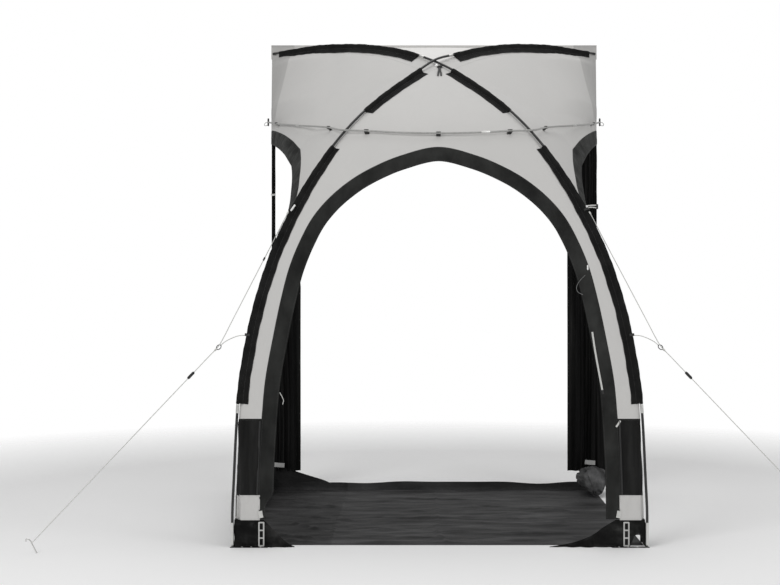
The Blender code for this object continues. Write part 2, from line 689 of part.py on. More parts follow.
def sleeve(name, side, low, high, on_the_side):
    """A pocket round the pole with its flat sewn edge lying on the cloth beside it."""
    sections, holes = [], []
    for arc in stations(low, high):
        centre = pole_point(side, arc)
        heading, level, outward = pole_axes(side, arc)
        run = float(np.interp(arc, POLE_ARC, RIDGE_PLANE[:, 0])) / DIAGONAL
        height = float(np.interp(arc, POLE_ARC, RIDGE_PLANE[:, 1]))
        ridge = Vector((side * HALF_WIDTH * (1 - 2 * run), FRONT_Y + DEPTH * run, height))
        cloth_side = math.copysign(1, ridge.x)
        tip, away, tip_up = cloth_beside(cloth_side, ridge, heading, SLEEVE_TAIL, on_the_side)
        mid, _, mid_up = cloth_beside(cloth_side, ridge, heading, SLEEVE_TAIL_START, on_the_side)
        away = (mid - ridge - heading * (mid - ridge).dot(heading)).normalized()
        up = heading.cross(away).normalized()
        if up.dot(mid_up) < 0:
            up = -up

        def round_pole(degrees, radius):
            turn = math.radians(degrees)
            return centre + radius * (math.cos(turn) * away + math.sin(turn) * up)

        def clears(degrees):
            start, end = round_pole(degrees, SLEEVE_R) - ridge, mid + mid_up * TOUCH_GAP - ridge
            reach = (start.dot(up) * end.dot(away) - end.dot(up) * start.dot(away))
            return reach / (end.dot(away) - start.dot(away)) > SLEEVE_CLEAR or start.dot(away) > 0

        first, last = SLEEVE_LOW_DEGS
        closing = next((d for d in range(first, last, SLEEVE_SCAN_DEG) if clears(d)), last)
        tail_low = REAR_TAIL_LIFT if on_the_side else SLEEVE_TAIL_LIFT
        tail_high = tail_low + SLEEVE_WALL
        outline = [tip + tip_up * tail_low, tip + tip_up * tail_high, mid + mid_up * tail_high]
        hump = np.linspace(SLEEVE_TOP_DEG, closing, SLEEVE_HUMP_POINTS)
        outline += [round_pole(float(d), SLEEVE_R) for d in hump]
        outline.append(mid + mid_up * tail_low)
        sections.append(outline)
        hole = []
        for k in range(POLE_SIDES):
            turn = 2 * math.pi * k / POLE_SIDES
            bore = POLE_R + POLE_CLEAR
            hole.append(centre + bore * (math.cos(turn) * level + math.sin(turn) * outward))
        holes.append(hole)
    return loft(name, sections, CLOTH_BLACK, holes)


def build_sleeves():
    for name, side in SIDES.items():
        low, high = arc_at_height(SLEEVE_LOW), arc_at_share(LOWER_SLEEVE_END_SHARE)
        sleeve(f"{name}_sleeve_lower", side, low, high, False)
        low, high = (arc_at_share(s) for s in UPPER_SLEEVE_SHARES)
        sleeve(f"{name}_sleeve_upper", side, low, high, False)
        low, high = (arc_at_share(s) for s in REAR_SLEEVE_SHARES)
        sleeve(f"{name}_sleeve_rear", side, low, high, True)


def offset_outline(points, distance, toward):
    """Each point of a flat outline moved square to it, to the side that holds the point toward."""
    p = np.array(points, float)
    heading = np.gradient(p, axis=0)
    heading /= np.linalg.norm(heading, axis=1)[:, None]
    square = np.stack([-heading[:, 1], heading[:, 0]], axis=1)
    middle = len(p) // 2
    if float(np.dot(square[middle], np.array(toward) - p[middle])) < 0:
        square = -square
    return p + square * distance


def spread_along(line, count):
    """Points at even lengths along a flat line."""
    p = np.array(line, float)
    arc = np.concatenate([[0], np.cumsum(np.linalg.norm(np.diff(p, axis=0), axis=1))])
    at = np.linspace(0, arc[-1], count)
    return [(float(np.interp(a, arc, p[:, 0])), float(np.interp(a, arc, p[:, 1]))) for a in at]


def outline(shares, edge, span, upper_count):
    """A smooth outline from its shares: even points above the legs, then those at and below them."""
    lead = [(a * span, b * ARCH_HEIGHT) for a, b in shares]
    at_leg = next(k for k, share in enumerate(shares) if share[1] <= LEG_TOP_SHARE)
    upper = spread_along(rounded_curve(lead[:at_leg + 1], OUTLINE_SPAN), upper_count)
    lower = rounded_curve(lead[at_leg:], OUTLINE_SPAN)[1:]
    return [(edge(float(x)), float(z)) for x, z in [*upper, *lower]]


DOOR_LINE = outline(DOOR_OUTLINE_SHARES, lambda x: x, HALF_WIDTH, DOOR_UPPER_POINTS)
ARCH_LINE = outline(ARCH_OUTLINE_SHARES, lambda y: CLOTH_REAR_Y - y, DEPTH, ARCH_UPPER_POINTS)
DOOR_MIDDLE = (0, ARCH_HEIGHT / 4)
ARCH_MIDDLE = (MID_Y, ARCH_HEIGHT / 4)


def ridge_stops():
    """Shares along the rear ridge and heights down the front ridge that neighbouring panels share."""
    rear = np.linspace(0.5 + APEX_STOP_SHARE, 1.0, REAR_RIDGE_POINTS)
    heights = np.linspace(ridge_height(0.5 - APEX_STOP_SHARE), LEG_TOP, FRONT_RIDGE_FINE_POINTS)
    front = [(ridge_share(h) * DIAGONAL, float(h)) for h in heights]
    front = spread_along(front, ARCH_UPPER_POINTS - REAR_RIDGE_POINTS)
    return [float(s) for s in rear], [h for _, h in front]


REAR_STOPS, FRONT_STOPS = ridge_stops()


def row_between(edge, ridge, shares):
    """Points from an opening's edge to near the ridge, and the ridge point itself."""
    edge, ridge = Vector(edge), Vector(ridge)
    near = ridge + (edge - ridge).normalized() * RIDGE_COLUMN
    return [tuple(edge.lerp(near, s)) for s in shares] + [tuple(ridge)]


def build_front():
    inner = offset_outline(DOOR_LINE, -SEAM_GAP, DOOR_MIDDLE)[:DOOR_UPPER_POINTS]
    ridge = [(HALF_WIDTH * (1 - 2 * ridge_share(h)), h) for h in FRONT_STOPS]
    ridge = spread_along([(0, ridge[0][1]), *ridge], len(inner))
    right = []
    for (xa, za), (xb, zb) in zip(inner, ridge):
        za, zb = max(za, LEG_TOP + SEAM_GAP), max(zb, LEG_TOP + SEAM_GAP)
        right.append(row_between((xa, za), (xb, zb), FRONT_COLUMN_SHARES))
    right[0] = [(0, z) for _, z in right[0]]
    left = [[front_spot(-x, z) for x, z in row] for row in reversed(right[1:])]
    rows = left + [[front_spot(x, z) for x, z in row] for row in right]
    sheet_solid("front_panel", rows, CLOTH_GREY, zone="front")


def build_roof():
    rows = []
    for share in REAR_STOPS:
        y = min(FRONT_Y + DEPTH * share, CLOTH_REAR_Y)
        half = HALF_WIDTH * (2 * share - 1)
        rows.append([Vector((half * s, y, ridge_height(share))) for s in ROOF_COLUMN_SHARES])
    sheet_solid("roof_panel", rows, CLOTH_GREY, zone="roof", outward=(0, 0, 1))


def build_sides():
    inner = offset_outline(ARCH_LINE, -SEAM_GAP, ARCH_MIDDLE)[:ARCH_UPPER_POINTS]
    rear = [(FRONT_Y + DEPTH * s, ridge_height(s)) for s in reversed(REAR_STOPS)]
    front = [(FRONT_Y + DEPTH * ridge_share(h), h) for h in FRONT_STOPS]
    for name, side in SIDES.items():
        rows = []
        for (ya, za), (yb, zb) in zip(inner, rear + front):
            ya, yb = min(ya, CLOTH_REAR_Y), min(yb, CLOTH_REAR_Y)
            za, zb = max(za, LEG_TOP + SEAM_GAP), max(zb, LEG_TOP + SEAM_GAP)
            row = row_between((ya, za), (yb, zb), SIDE_COLUMN_SHARES)
            rows.append([side_spot(side, y, z) for y, z in row])
        sheet_solid(f"{name}_side_panel", rows, CLOTH_GREY, zone="side")


def build_trims():
    outer = offset_outline(DOOR_LINE, SEAM_GAP, DOOR_MIDDLE)
    inner = offset_outline(DOOR_LINE, DOOR_TRIM_WIDTH, DOOR_MIDDLE)
    right = [[tuple(a), tuple(b)] for a, b in zip(outer, inner)]
    right[0] = [(0, z) for _, z in right[0]]
    left = [[front_spot(-x, z) for x, z in row] for row in reversed(right[1:])]
    rows = left + [[front_spot(x, z) for x, z in row] for row in right]
    sheet_solid("door_trim", rows, CLOTH_DARK)
    outer = offset_outline(ARCH_LINE, SEAM_GAP, ARCH_MIDDLE)
    inner = offset_outline(ARCH_LINE, ARCH_TRIM_WIDTH, ARCH_MIDDLE)
    for name, side in SIDES.items():
        rows = [[side_spot(side, min(y, CLOTH_REAR_Y), z) for y, z in pair] for pair in zip(outer, inner)]
        sheet_solid(f"{name}_arch_trim", rows, CLOTH_DARK)


def line_at(line, height):
    """The first coordinate of an outline's leg at a height, below its highest point."""
    p = np.array(line, float)
    p = p[int(np.argmax(p[:, 1])):][::-1]
    return float(np.interp(height, p[:, 1], p[:, 0]))


def leg_wrap(name, side, heights, finish):
    """Cloth round the front corner, from the door trim to the side arch's trim."""
    door = offset_outline(DOOR_LINE, -LEG_SEAM_GAP, DOOR_MIDDLE)
    arch = offset_outline(ARCH_LINE, -LEG_SEAM_GAP, ARCH_MIDDLE)
    rows = []
    for z in heights:
        share = ridge_share(z)
        corner_x, corner_y = HALF_WIDTH * (1 - 2 * share), FRONT_Y + DEPTH * share
        door_x, arch_y = line_at(door, z), line_at(arch, z)
        row = [front_spot(side * (door_x + (corner_x - door_x) * s), z) for s in (0, 0.5)]
        row.append(corner_spot(side, z))
        row += [side_spot(side, corner_y + (arch_y - corner_y) * s, z) for s in (0.5, 1)]
        rows.append(row)
    sheet_solid(name, rows, finish)


def build_legs():
    for name, side in SIDES.items():
        low, high = PATCH_TOP + SEAM_GAP, LEG_TOP - SEAM_GAP
        leg_wrap(f"{name}_leg_panel", side, np.linspace(low, high, LEG_PANEL_ROWS), CLOTH_BLACK)
        low, high = MUD_FLAP_HEIGHT + SEAM_GAP, PATCH_TOP - SEAM_GAP
        leg_wrap(f"{name}_leg_patch", side, np.linspace(low, high, LEG_PATCH_ROWS), CLOTH_GREY)
        build_mud_flap(name, side)


def build_mud_flap(name, side):
    """The skirt at the ground: a wing under the doorway, the corner, and the left side to the wall.

    On the right it only turns the corner, as the ground is seen there past the groundsheet's edge.
    """
    corner_y = FRONT_Y + DEPTH * ridge_share(0)
    corner_x = HALF_WIDTH * (1 - 2 * ridge_share(0))
    columns = []
    for x_share, height_share in MUD_LEFT_WING_SHARES if side < 0 else MUD_WING_SHARES:
        x, top = side * HALF_WIDTH * x_share, MUD_FLAP_HEIGHT * height_share
        columns.append([front_spot(x, top * s) for s in MUD_ROW_SHARES])
    x = side * (HALF_WIDTH * MUD_WING_SHARES[-1][0] + corner_x) / 2
    columns.append([front_spot(x, MUD_FLAP_HEIGHT * s) for s in MUD_ROW_SHARES])
    columns.append([corner_spot(side, MUD_FLAP_HEIGHT * s) for s in MUD_ROW_SHARES])
    for along in MUD_SIDE_SHARES if side < 0 else MUD_RETURN_SHARES:
        y = corner_y + (CLOTH_REAR_Y - corner_y) * along
        columns.append([side_spot(side, y, MUD_FLAP_HEIGHT * s) for s in MUD_ROW_SHARES])
    sheet_solid(f"{name}_mud_flap", [list(row) for row in zip(*columns)], CLOTH_BLACK)


def build_wall_flaps():
    """Curtains that hang inside the side openings along the wall."""
    low, high = (share * ARCH_HEIGHT for share in LEFT_FLAP_SLOPE_SHARES)
    levels = [*np.linspace(FLAP_HEM, low, FLAP_LOW_ROWS), (low + high) / 2, high]
    levels += [(high + FLAP_TOP) / 2, FLAP_TOP]
    for name, side in SIDES.items():
        rows = []
        for z in levels:
            outer_x = side_x(REAR_Y - FLAP_SETBACK, z) - FABRIC - 3 * TOUCH_GAP
            narrowing = max(0.0, min(1.0, (z - low) / (high - low))) if side < 0 else 0.0
            width = FLAP_WIDTH + (LEFT_FLAP_NARROW - FLAP_WIDTH) * narrowing
            row = []
            for s in np.linspace(0, 1, FLAP_COLUMNS):
                fold = FLAP_FOLD * math.sin(2 * math.pi * FLAP_FOLDS * s) * min(1.0, 3 * s)
                fold *= width / FLAP_WIDTH
                row.append(Vector((side * (outer_x - width * s), REAR_Y - FLAP_SETBACK + fold, z)))
            rows.append(row)
        sheet_solid(f"{name}_wall_flap", rows, CLOTH_BLACK, outward=(0, 1, 0))


def share_along(shares, s):
    along, values = zip(*shares)
    return float(np.interp(s, along, values))


def build_ground():
    """The groundsheet with its rear lip, and the side door's panel heaped over its right edge."""
    front, rear = FRONT_Y + SHEET_FRONT_INSET, REAR_Y - SHEET_REAR_INSET
    rows = []
    for s in (0, 0.25, 0.5, 0.75, 1.0):
        y = front + (rear - front) * s
        half = side_x(y, 0) - FABRIC - 2 * TOUCH_GAP
        rows.append([Vector((half * a, y, 0)) for a in (-1, -0.5, 0, 0.5, 1)])
    half = side_x(rear, 0) - FABRIC - 2 * TOUCH_GAP
    rows.append([Vector((half * a, rear + SHEET_THICK / 2, SHEET_LIP)) for a in (-1, -0.5, 0, 0.5, 1)])
    sheet_solid("groundsheet", rows, SHEET_GREY, SHEET_THICK, outward=(0, 0, -1), smooth=False)
    sections = []
    for s in np.linspace(0, 1, BUNDLE_STOPS):
        y = REAR_Y - BUNDLE_REAR_INSET - BUNDLE_LENGTH * s
        crest = BUNDLE_HEIGHT * share_along(BUNDLE_CREST_SHARES, s)
        width = BUNDLE_WIDTH * share_along(BUNDLE_WIDTH_SHARES, s)
        section = []
        for j in range(BUNDLE_SIDES):
            turn = 2 * math.pi * j / BUNDLE_SIDES
            lifted = max(0.0, math.sin(turn))
            fold = 1 - BUNDLE_FOLD_SHARE * lifted * math.sin(BUNDLE_FOLDS * (turn + s)) ** 2
            x = HALF_WIDTH + BUNDLE_OVERHANG + (width * math.cos(turn) * fold - BUNDLE_WIDTH) / 2
            section.append(Vector((x, y, SHEET_THICK + TOUCH_GAP + crest * lifted * fold)))
        sections.append(section)
    loft("gathered_door_panel", sections, SHEET_GREY)


def build_rail_bead():
    """The round bead in its tape, along the top of the rear edge."""
    y = REAR_Y - BEAD_R
    tape_low = ridge_height(1.0) - TAPE_UNDERLAP
    tape_top = tape_low + TAPE_HEIGHT + TAPE_UNDERLAP
    centre = tape_top + BEAD_R * math.cos(math.asin(FABRIC / 2 / BEAD_R))
    start = math.degrees(math.asin(FABRIC / 2 / BEAD_R)) - 90
    outline = [(y - FABRIC / 2, tape_low), (y + FABRIC / 2, tape_low)]
    for k in range(BEAD_SIDES):
        turn = math.radians(start + (360 - 2 * (start + 90)) * k / (BEAD_SIDES - 1))
        outline.append((y + BEAD_R * math.cos(turn), centre + BEAD_R * math.sin(turn)))
    half = HALF_WIDTH - TOUCH_GAP
    sections = [[Vector((half * a, p, z)) for p, z in outline] for a in (-1, -0.5, 0, 0.5, 1)]
    loft("rail_bead", sections, CLOTH_GREY)


def brow_points():
    """The brow pole's line: along each side from the wall, over each arch pole and across the front."""
    start_y = FRONT_Y + DEPTH * ridge_share(BROW_HEIGHT)
    end_y = REAR_Y - BROW_END_INSET
    half = []
    for s in BROW_SIDE_SHARES:
        y = start_y + (end_y - start_y) * s
        z = BROW_HEIGHT + (BROW_END_HEIGHT - BROW_HEIGHT) * s
        def place(a, b):
            return on_side(-1, a, b)
        half.append(on_side(-1, y, z) + face_normal(place, y, z) * BROW_STAND)
    arc = arc_at_height(BROW_HEIGHT)
    over = pole_point(-1, arc)
    heading = (pole_point(-1, arc + POLE_STEP / 4) - pole_point(-1, arc - POLE_STEP / 4)).normalized()
    level = Vector((-HALF_WIDTH, -DEPTH / 2, 0)).normalized()
    out = (level - heading * level.dot(heading)).normalized()
    over = over + out * (POLE_R + BROW_R)
    half.append(over)
    ridge_x = abs(over.x)
    front = []
    for s in BROW_FRONT_SHARES:
        x = ridge_x * s
        z = BROW_HEIGHT - BROW_DIP * (1 - s * s)
        front.append(on_front(x, z) + face_normal(on_front, x, z) * BROW_STAND)
    other = [Vector((-p.x, p.y, p.z)) for p in reversed(half)]
    return half + front + other


def build_brow():
    points = brow_points()
    smooth_line = [Vector(p) for p in rounded_curve(points, BROW_SPAN)]
    line, clip_places = straight_at(smooth_line, [k * BROW_SPAN for k in BROW_CLIP_STOPS])
    joint = BROW_JOINT_POINT
    last = len(line) - 1
    parts = (
        ("brow_pole_left", 0, joint),
        ("brow_pole_middle", joint, last - joint),
        ("brow_pole_right", last, last - joint),
    )
    for name, a, b in parts:
        step = 1 if b > a else -1
        centres = line[a:b + 1] if step > 0 else [line[k] for k in range(a, b - 1, -1)]
        radii = [BROW_R] * len(centres)
        if name == "brow_pole_middle":
            centres[0] = centres[0] + (centres[1] - centres[0]).normalized() * TOUCH_GAP
            centres[-1] = centres[-1] + (centres[-2] - centres[-1]).normalized() * TOUCH_GAP
        else:
            back = (centres[-2] - centres[-1]).normalized()
            collar = centres[-1] + back * BROW_FERRULE_LENGTH
            centres = centres[:-1] + [collar, collar - back * TOUCH_GAP, centres[-1]]
            radii = [BROW_R] * (len(centres) - 2) + [BROW_FERRULE_R] * 2
        rod(name, centres, radii, BROW_GREY, BROW_SIDES)
    for name, side in SIDES.items():
        tip = line[0] if side < 0 else line[-1]
        before = line[1] if side < 0 else line[-2]
        heading = (tip - before).normalized()
        end = tip + heading * (BROW_BAR_R + TOUCH_GAP)
        upright = (Vector((0, 0, 1)) - heading * heading.z).normalized()
        centres = [end + upright * BROW_BAR_LENGTH / 2 * a for a, _ in BAR_SHAPE_SHARES]
        radii = [BROW_BAR_R * r for _, r in BAR_SHAPE_SHARES]
        rod(f"brow_hook_{name}", centres, radii, PLASTIC, BROW_BAR_SIDES)
    for number, (at, heading) in enumerate(clip_places, 1):
        on_the_side = abs(at.x) > ridge_x_at(at.z)
        build_clip(f"brow_clip_{number}", at, heading, on_the_side)


def ridge_x_at(height):
    return HALF_WIDTH * (1 - 2 * ridge_share(height))


def straight_at(line, indices):
    """A line whose points at the given indices become short straights, each long enough for a clip."""
    out, places = [], []
    for k, point in enumerate(line):
        if k not in indices:
            out.append(point)
            continue
        heading = (line[k + 1] - line[k - 1]).normalized()
        half = heading * (CLIP_LENGTH / 2 + 3 * TOUCH_GAP)
        out += [point - half, point + half]
        places.append((point, heading))
    return out, places


def build_clip(name, at, heading, on_the_side):
    """An open hook round the brow pole, on a foot that turns about it just clear of the cloth."""
    side = math.copysign(1, at.x)
    seat, normal = side_spot(side, at.y, at.z) if on_the_side else front_spot(at.x, at.z)
    depth = abs((seat - at).dot(normal))
    drop = -(normal - heading * normal.dot(heading)).normalized()
    across = heading.cross(drop).normalized()
    step = math.radians(CLIP_BORE_DEGS[1] - CLIP_BORE_DEGS[0])
    bore = (BROW_R + CLIP_CLEAR) / math.cos(step / 2)
    rim = bore + CLIP_WALL
    foot = depth - 2 * TOUCH_GAP
    half = CLIP_FOOT_HALF_DEG

    def spot(degrees, radius, along):
        turn = math.radians(degrees)
        place = radius * (math.cos(turn) * drop + math.sin(turn) * across)
        return at + place + heading * (along * CLIP_LENGTH / 2)

    sections = []
    for along in (-1, 1):
        edge = [spot(d, rim, along) for d in CLIP_RIM_DEGS]
        edge += [spot(d, foot, along) for d in (half, 0, -half)]
        edge += [spot(d, rim, along) for d in CLIP_LIP_DEGS]
        edge += [spot(d, bore, along) for d in CLIP_BORE_DEGS]
        sections.append(edge)
    recentre(loft(name, sections, PLASTIC, smooth=False), at)


def recentre(made, place):
    """Put an object's origin on its joint's axis, with its mesh where it was."""
    made.data.transform(Matrix.Translation(-Vector(place)))
    made.location = Vector(place)


def build_small_front_pieces():
    z_top = ridge_height(0.5 - 3 * APEX_STOP_SHARE)
    rows = []
    for z in np.linspace(z_top, z_top - TIE_LENGTH, TIE_ROWS):
        row = []
        for s in (-0.5, 0, 0.5):
            x = TIE_OFFSET + TIE_WIDTH * s
            up = face_normal(on_front, x, z)
            row.append(on_front(x, z) + up * (FABRIC + TIE_STAND))
        rows.append(row)
    sheet_solid("crossing_tie", rows, WEBBING, outward=(0, -1, 0.3))
    x = line_at(DOOR_LINE, TOGGLE_HEIGHT)
    top = on_front(x, TOGGLE_HEIGHT)
    up = face_normal(on_front, x, TOGGLE_HEIGHT)
    along = (on_front(x, TOGGLE_HEIGHT - TOGGLE_LENGTH) - top).normalized()
    seat = top + up * (TOGGLE_R + TOUCH_GAP)
    centres = [seat + along * TOGGLE_LENGTH * a for a, _ in TOGGLE_SHAPE_SHARES]
    radii = [TOGGLE_R * r for _, r in TOGGLE_SHAPE_SHARES]
    made = rod("door_toggle", centres, radii, CORD_PALE)
    recentre(made, seat)


def plate(name, outline, holes, normal_axis, low, high, finish):
    """A flat plate with holes, cut from an outline and carried between two planes."""
    def place(p, level):
        if normal_axis == "z":
            return Vector((p[0], p[1], level))
        return Vector((p[0], level, p[1]))

    loops = [outline, *holes]
    verts, faces, starts = [], [], []
    for loop in loops:
        starts.append(len(verts))
        verts += [place(p, low) for p in loop]
    top = len(verts)
    for loop in loops:
        verts += [place(p, high) for p in loop]
    for start, loop in zip(starts, loops):
        for k in range(len(loop)):
            a, b = start + k, start + (k + 1) % len(loop)
            faces += [(a, b, top + b), (a, top + b, top + a)]
    flat = [[Vector((p[0], p[1], 0)) for p in loop] for loop in loops]
    for triangle in tessellate_polygon(flat):
        faces.append(tuple(triangle))
        faces.append(tuple(top + k for k in triangle))
    return add_object(name, verts, faces, finish, smooth=False)


def build_ground_fittings():
    for name, side in SIDES.items():
        x = side * LADDER_X[name]
        face = front_y(x, LADDER_HEIGHT / 2)
        low, high = LADDER_LIFT, LADDER_LIFT + LADDER_HEIGHT
        left, right = x - LADDER_WIDTH / 2, x + LADDER_WIDTH / 2
        pitch = (LADDER_HEIGHT - LADDER_BAR) / LADDER_SLOTS
        slots = []
        for k in range(LADDER_SLOTS):
            bottom = low + LADDER_BAR + pitch * k
            top = bottom + pitch - LADDER_BAR
            a, b = left + LADDER_BAR, right - LADDER_BAR
            slots.append([(a, bottom), (b, bottom), (b, top), (a, top)])
        outline = [(left, low), (right, low), (right, high), (left, high)]
        back = face - LADDER_GAP
        made = plate(f"{name}_peg_ladder", outline, slots, "y", back - LADDER_THICK, back, LADDER_GREY)
        recentre(made, (x, back - LADDER_THICK / 2, high - LADDER_THICK / 2))
        outer = side * (HALF_WIDTH + STRAP_OUTER)
        inner = side * (HALF_WIDTH - STRAP_LENGTH)
        front, rear = FRONT_Y - STRAP_FRONT, FRONT_Y + STRAP_REAR
        outline = [(outer, front), (inner, front), (inner, rear), (outer, rear)]
        hole = []
        for k in range(STRAP_HOLE_SIDES):
            turn = 2 * math.pi * k / STRAP_HOLE_SIDES
            hole.append((
                side * HALF_WIDTH + STRAP_HOLE_R * math.cos(turn),
                FRONT_Y + STRAP_HOLE_R * math.sin(turn),
            ))
        plate(f"{name}_foot_strap", outline, [hole], "z", 0, STRAP_THICK, WEBBING)


def cord(name, route, per_span):
    """A round cord on a smooth curve through its route."""
    line = rounded_curve(route, per_span)
    curve = bpy.data.curves.new(name, "CURVE")
    curve.dimensions = "3D"
    curve.bevel_depth = GUY_R
    curve.bevel_resolution = GUY_SIDES // 4 - 1
    curve.use_fill_caps = True
    spline = curve.splines.new("POLY")
    spline.points.add(len(line) - 1)
    for point, place in zip(spline.points, line):
        point.co = (*place, 1.0)
    curve.materials.append(material(CORD_PALE))
    made = bpy.data.objects.new(name, curve)
    bpy.context.collection.objects.link(made)
    return made


def ring(name, centre, axis, radius, wire_radius, finish):
    """A closed wire ring about an axis."""
    axis = Vector(axis).normalized()
    u = axis.orthogonal().normalized()
    v = axis.cross(u)
    verts, faces = [], []
    around, sides = GUY_RING_AROUND_SIDES, GUY_RING_SIDES
    for i in range(around):
        turn = 2 * math.pi * i / around
        spoke = math.cos(turn) * u + math.sin(turn) * v
        for j in range(sides):
            roll = 2 * math.pi * j / sides
            out = radius + wire_radius * math.cos(roll)
            verts.append(Vector(centre) + spoke * out + axis * wire_radius * math.sin(roll))
    for i in range(around):
        for j in range(sides):
            a, b = i * sides + j, i * sides + (j + 1) % sides
            c, d = (i + 1) % around * sides + (j + 1) % sides, (i + 1) % around * sides + j
            faces.append((a, b, c, d))
    return add_object(name, verts, faces, finish)


def build_guys():
    for name, side in SIDES.items():
        cord(f"{name}_guy_line", mirrored(GUY_ROUTE, side), GUY_SPAN)
        cord(f"{name}_guy_branch", mirrored(BRANCH_ROUTE, side), GUY_SPAN)
        before, at, after = mirrored(GUY_ROUTE[GUY_RING_STOP - 1:GUY_RING_STOP + 2], side)
        axis = (at - before).cross(after - at).normalized()
        if axis.y < 0:
            axis = -axis
        place = at + axis * (GUY_R + GUY_RING_WIRE_R + 2 * TOUCH_GAP)
        ring(f"{name}_guy_ring", place, axis, GUY_RING_R, GUY_RING_WIRE_R, RING_GREY)
        build_runner(name, side)
        build_peg(name, side)


def guy_heading(side):
    start, end = mirrored([GUY_ROUTE[GUY_RING_STOP + 2], GUY_ROUTE[-1]], side)
    return (end - start).normalized()


def build_runner(name, side):
    """The slider on the guy line: a flat bar with the line through it."""
    heading = guy_heading(side)
    end = mirrored([GUY_ROUTE[-1]], side)[0]
    near = mirrored([RUNNER_AT], side)[0]
    at = end + heading * (near - end).dot(heading)
    across = heading.cross(Vector((0, 1, 0))).normalized()
    up = heading.cross(across).normalized()
    sections, holes = [], []
    full = 1 / math.cos(math.pi / RUNNER_SIDES)
    bore = (GUY_R + RUNNER_CLEAR) * full
    for a, size in RUNNER_SHAPE_SHARES:
        spot = at + heading * RUNNER_LENGTH / 2 * a
        section, hole = [], []
        for k in range(RUNNER_SIDES):
            turn = 2 * math.pi * (k + 0.5) / RUNNER_SIDES
            wide = across * RUNNER_WIDTH / 2 * math.cos(turn)
            deep = up * RUNNER_THICK / 2 * math.sin(turn)
            section.append(spot + (wide + deep) * size * full)
            hole.append(spot + bore * (across * math.cos(turn) + up * math.sin(turn)))
        sections.append(section)
        holes.append(hole)
    made = loft(f"{name}_guy_runner", sections, PLASTIC, holes)
    recentre(made, at)


def build_peg(name, side):
    """What stands out of the ground of the driven peg, with its hook turned away from the awning."""
    end = mirrored([GUY_ROUTE[-1]], side)[0]
    heading = guy_heading(side)
    level = Vector((heading.x, heading.y, 0)).normalized()
    lean = Vector((level.x * PEG_LEAN, level.y * PEG_LEAN, PEG_HEIGHT)).normalized()
    slant = heading.dot(lean)
    reach = (PEG_R + TOUCH_GAP + GUY_R * abs(slant)) / math.sqrt(1 - slant * slant)
    seat = end + heading * reach
    sunk = PEG_R * math.hypot(lean.x, lean.y)
    foot = seat - lean * ((seat.z - sunk) / lean.z)
    top = foot + lean * PEG_HEIGHT
    bend = PEG_HOOK / 2
    centres = [foot, foot + lean * (PEG_HEIGHT / 2), top]
    centres += [top + (lean * a + level * b) * bend for a, b in HOOK_SHAPE_SHARES]
    rod(f"{name}_guy_peg", centres, [PEG_R] * len(centres), STEEL)


def build():
    clear_scene()
    build_front()
    build_roof()
    build_sides()
    build_trims()
    build_legs()
    build_wall_flaps()
    build_ground()
    build_rail_bead()
    build_poles()
    build_sleeves()
    build_brow()
    build_small_front_pieces()
    build_ground_fittings()
    build_guys()


build()
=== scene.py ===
"""Porch awning on crossed poles: sewn cloth, poles, cords and fittings dressed over the frame.

X runs to the right as seen from the front, the doorway faces -Y, and Z is up from the ground.
"""

import math

import bmesh
import bpy
import numpy as np
from bpy.props import FloatProperty, FloatVectorProperty, IntProperty, PointerProperty
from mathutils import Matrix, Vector
from mathutils.geometry import tessellate_polygon


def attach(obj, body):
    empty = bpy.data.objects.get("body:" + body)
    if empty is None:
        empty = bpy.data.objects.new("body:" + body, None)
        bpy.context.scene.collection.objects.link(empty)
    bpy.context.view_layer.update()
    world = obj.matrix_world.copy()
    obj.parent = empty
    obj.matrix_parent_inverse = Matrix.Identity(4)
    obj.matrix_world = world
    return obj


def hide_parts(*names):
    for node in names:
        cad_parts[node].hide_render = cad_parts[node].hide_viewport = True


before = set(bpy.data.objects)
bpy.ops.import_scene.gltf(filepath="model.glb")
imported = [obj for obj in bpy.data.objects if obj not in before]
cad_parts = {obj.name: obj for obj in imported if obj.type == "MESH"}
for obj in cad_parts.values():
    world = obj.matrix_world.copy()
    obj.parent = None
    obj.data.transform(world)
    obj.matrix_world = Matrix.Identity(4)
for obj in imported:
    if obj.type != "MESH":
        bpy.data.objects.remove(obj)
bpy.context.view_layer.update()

bl_info = {
    "name": "Crossed-pole porch awning",
    "version": (1, 0, 0),
    "blender": (4, 5, 0),
    "location": "View3D > Sidebar > Awning",
    "description": "Dresses the awning's frame with cloth, poles, cords and fittings",
    "category": "Object",
}

# Sizes of the awning's form, the same as those of its solids
HALF_WIDTH, DEPTH, ARCH_HEIGHT = 0.962, 1.80, 2.576
STRAP_FRONT, BEAD_R, TAPE_HALF, TAPE_DROP, TAPE_HEIGHT = 0.0125, 0.0035, 0.0008, 0.020, 0.078
FRONT_Y = -(DEPTH - STRAP_FRONT) / 2
REAR_Y = FRONT_Y + DEPTH
MID_Y = (FRONT_Y + REAR_Y) / 2
DIAGONAL = math.hypot(2 * HALF_WIDTH, DEPTH)
GAP, FLOOR_GAP, CLOTH = 0.0003, 0.0002, 0.0011
CLOTH_REAR_Y = REAR_Y - BEAD_R - TAPE_HALF - GAP
POLE_R, POLE_CLEAR = 0.00635, 0.0004
RIDGE_OFFSET, CROSSING_SPREAD, AXIS_STEP = 0.0122, 0.042, 0.012
SLEEVE_R = POLE_R + POLE_CLEAR + 0.0010
POLE_ARCH_SHARES = (
    (0, 0), (0, 0.0505), (0.0035, 0.125), (0.0125, 0.262), (0.036, 0.388), (0.075, 0.504),
    (0.13, 0.608), (0.20, 0.704), (0.29, 0.796), (0.39, 0.868), (0.50, 0.928), (0.62, 0.968),
    (0.75, 0.991), (0.87, 1.0), (1, 1.0),
)
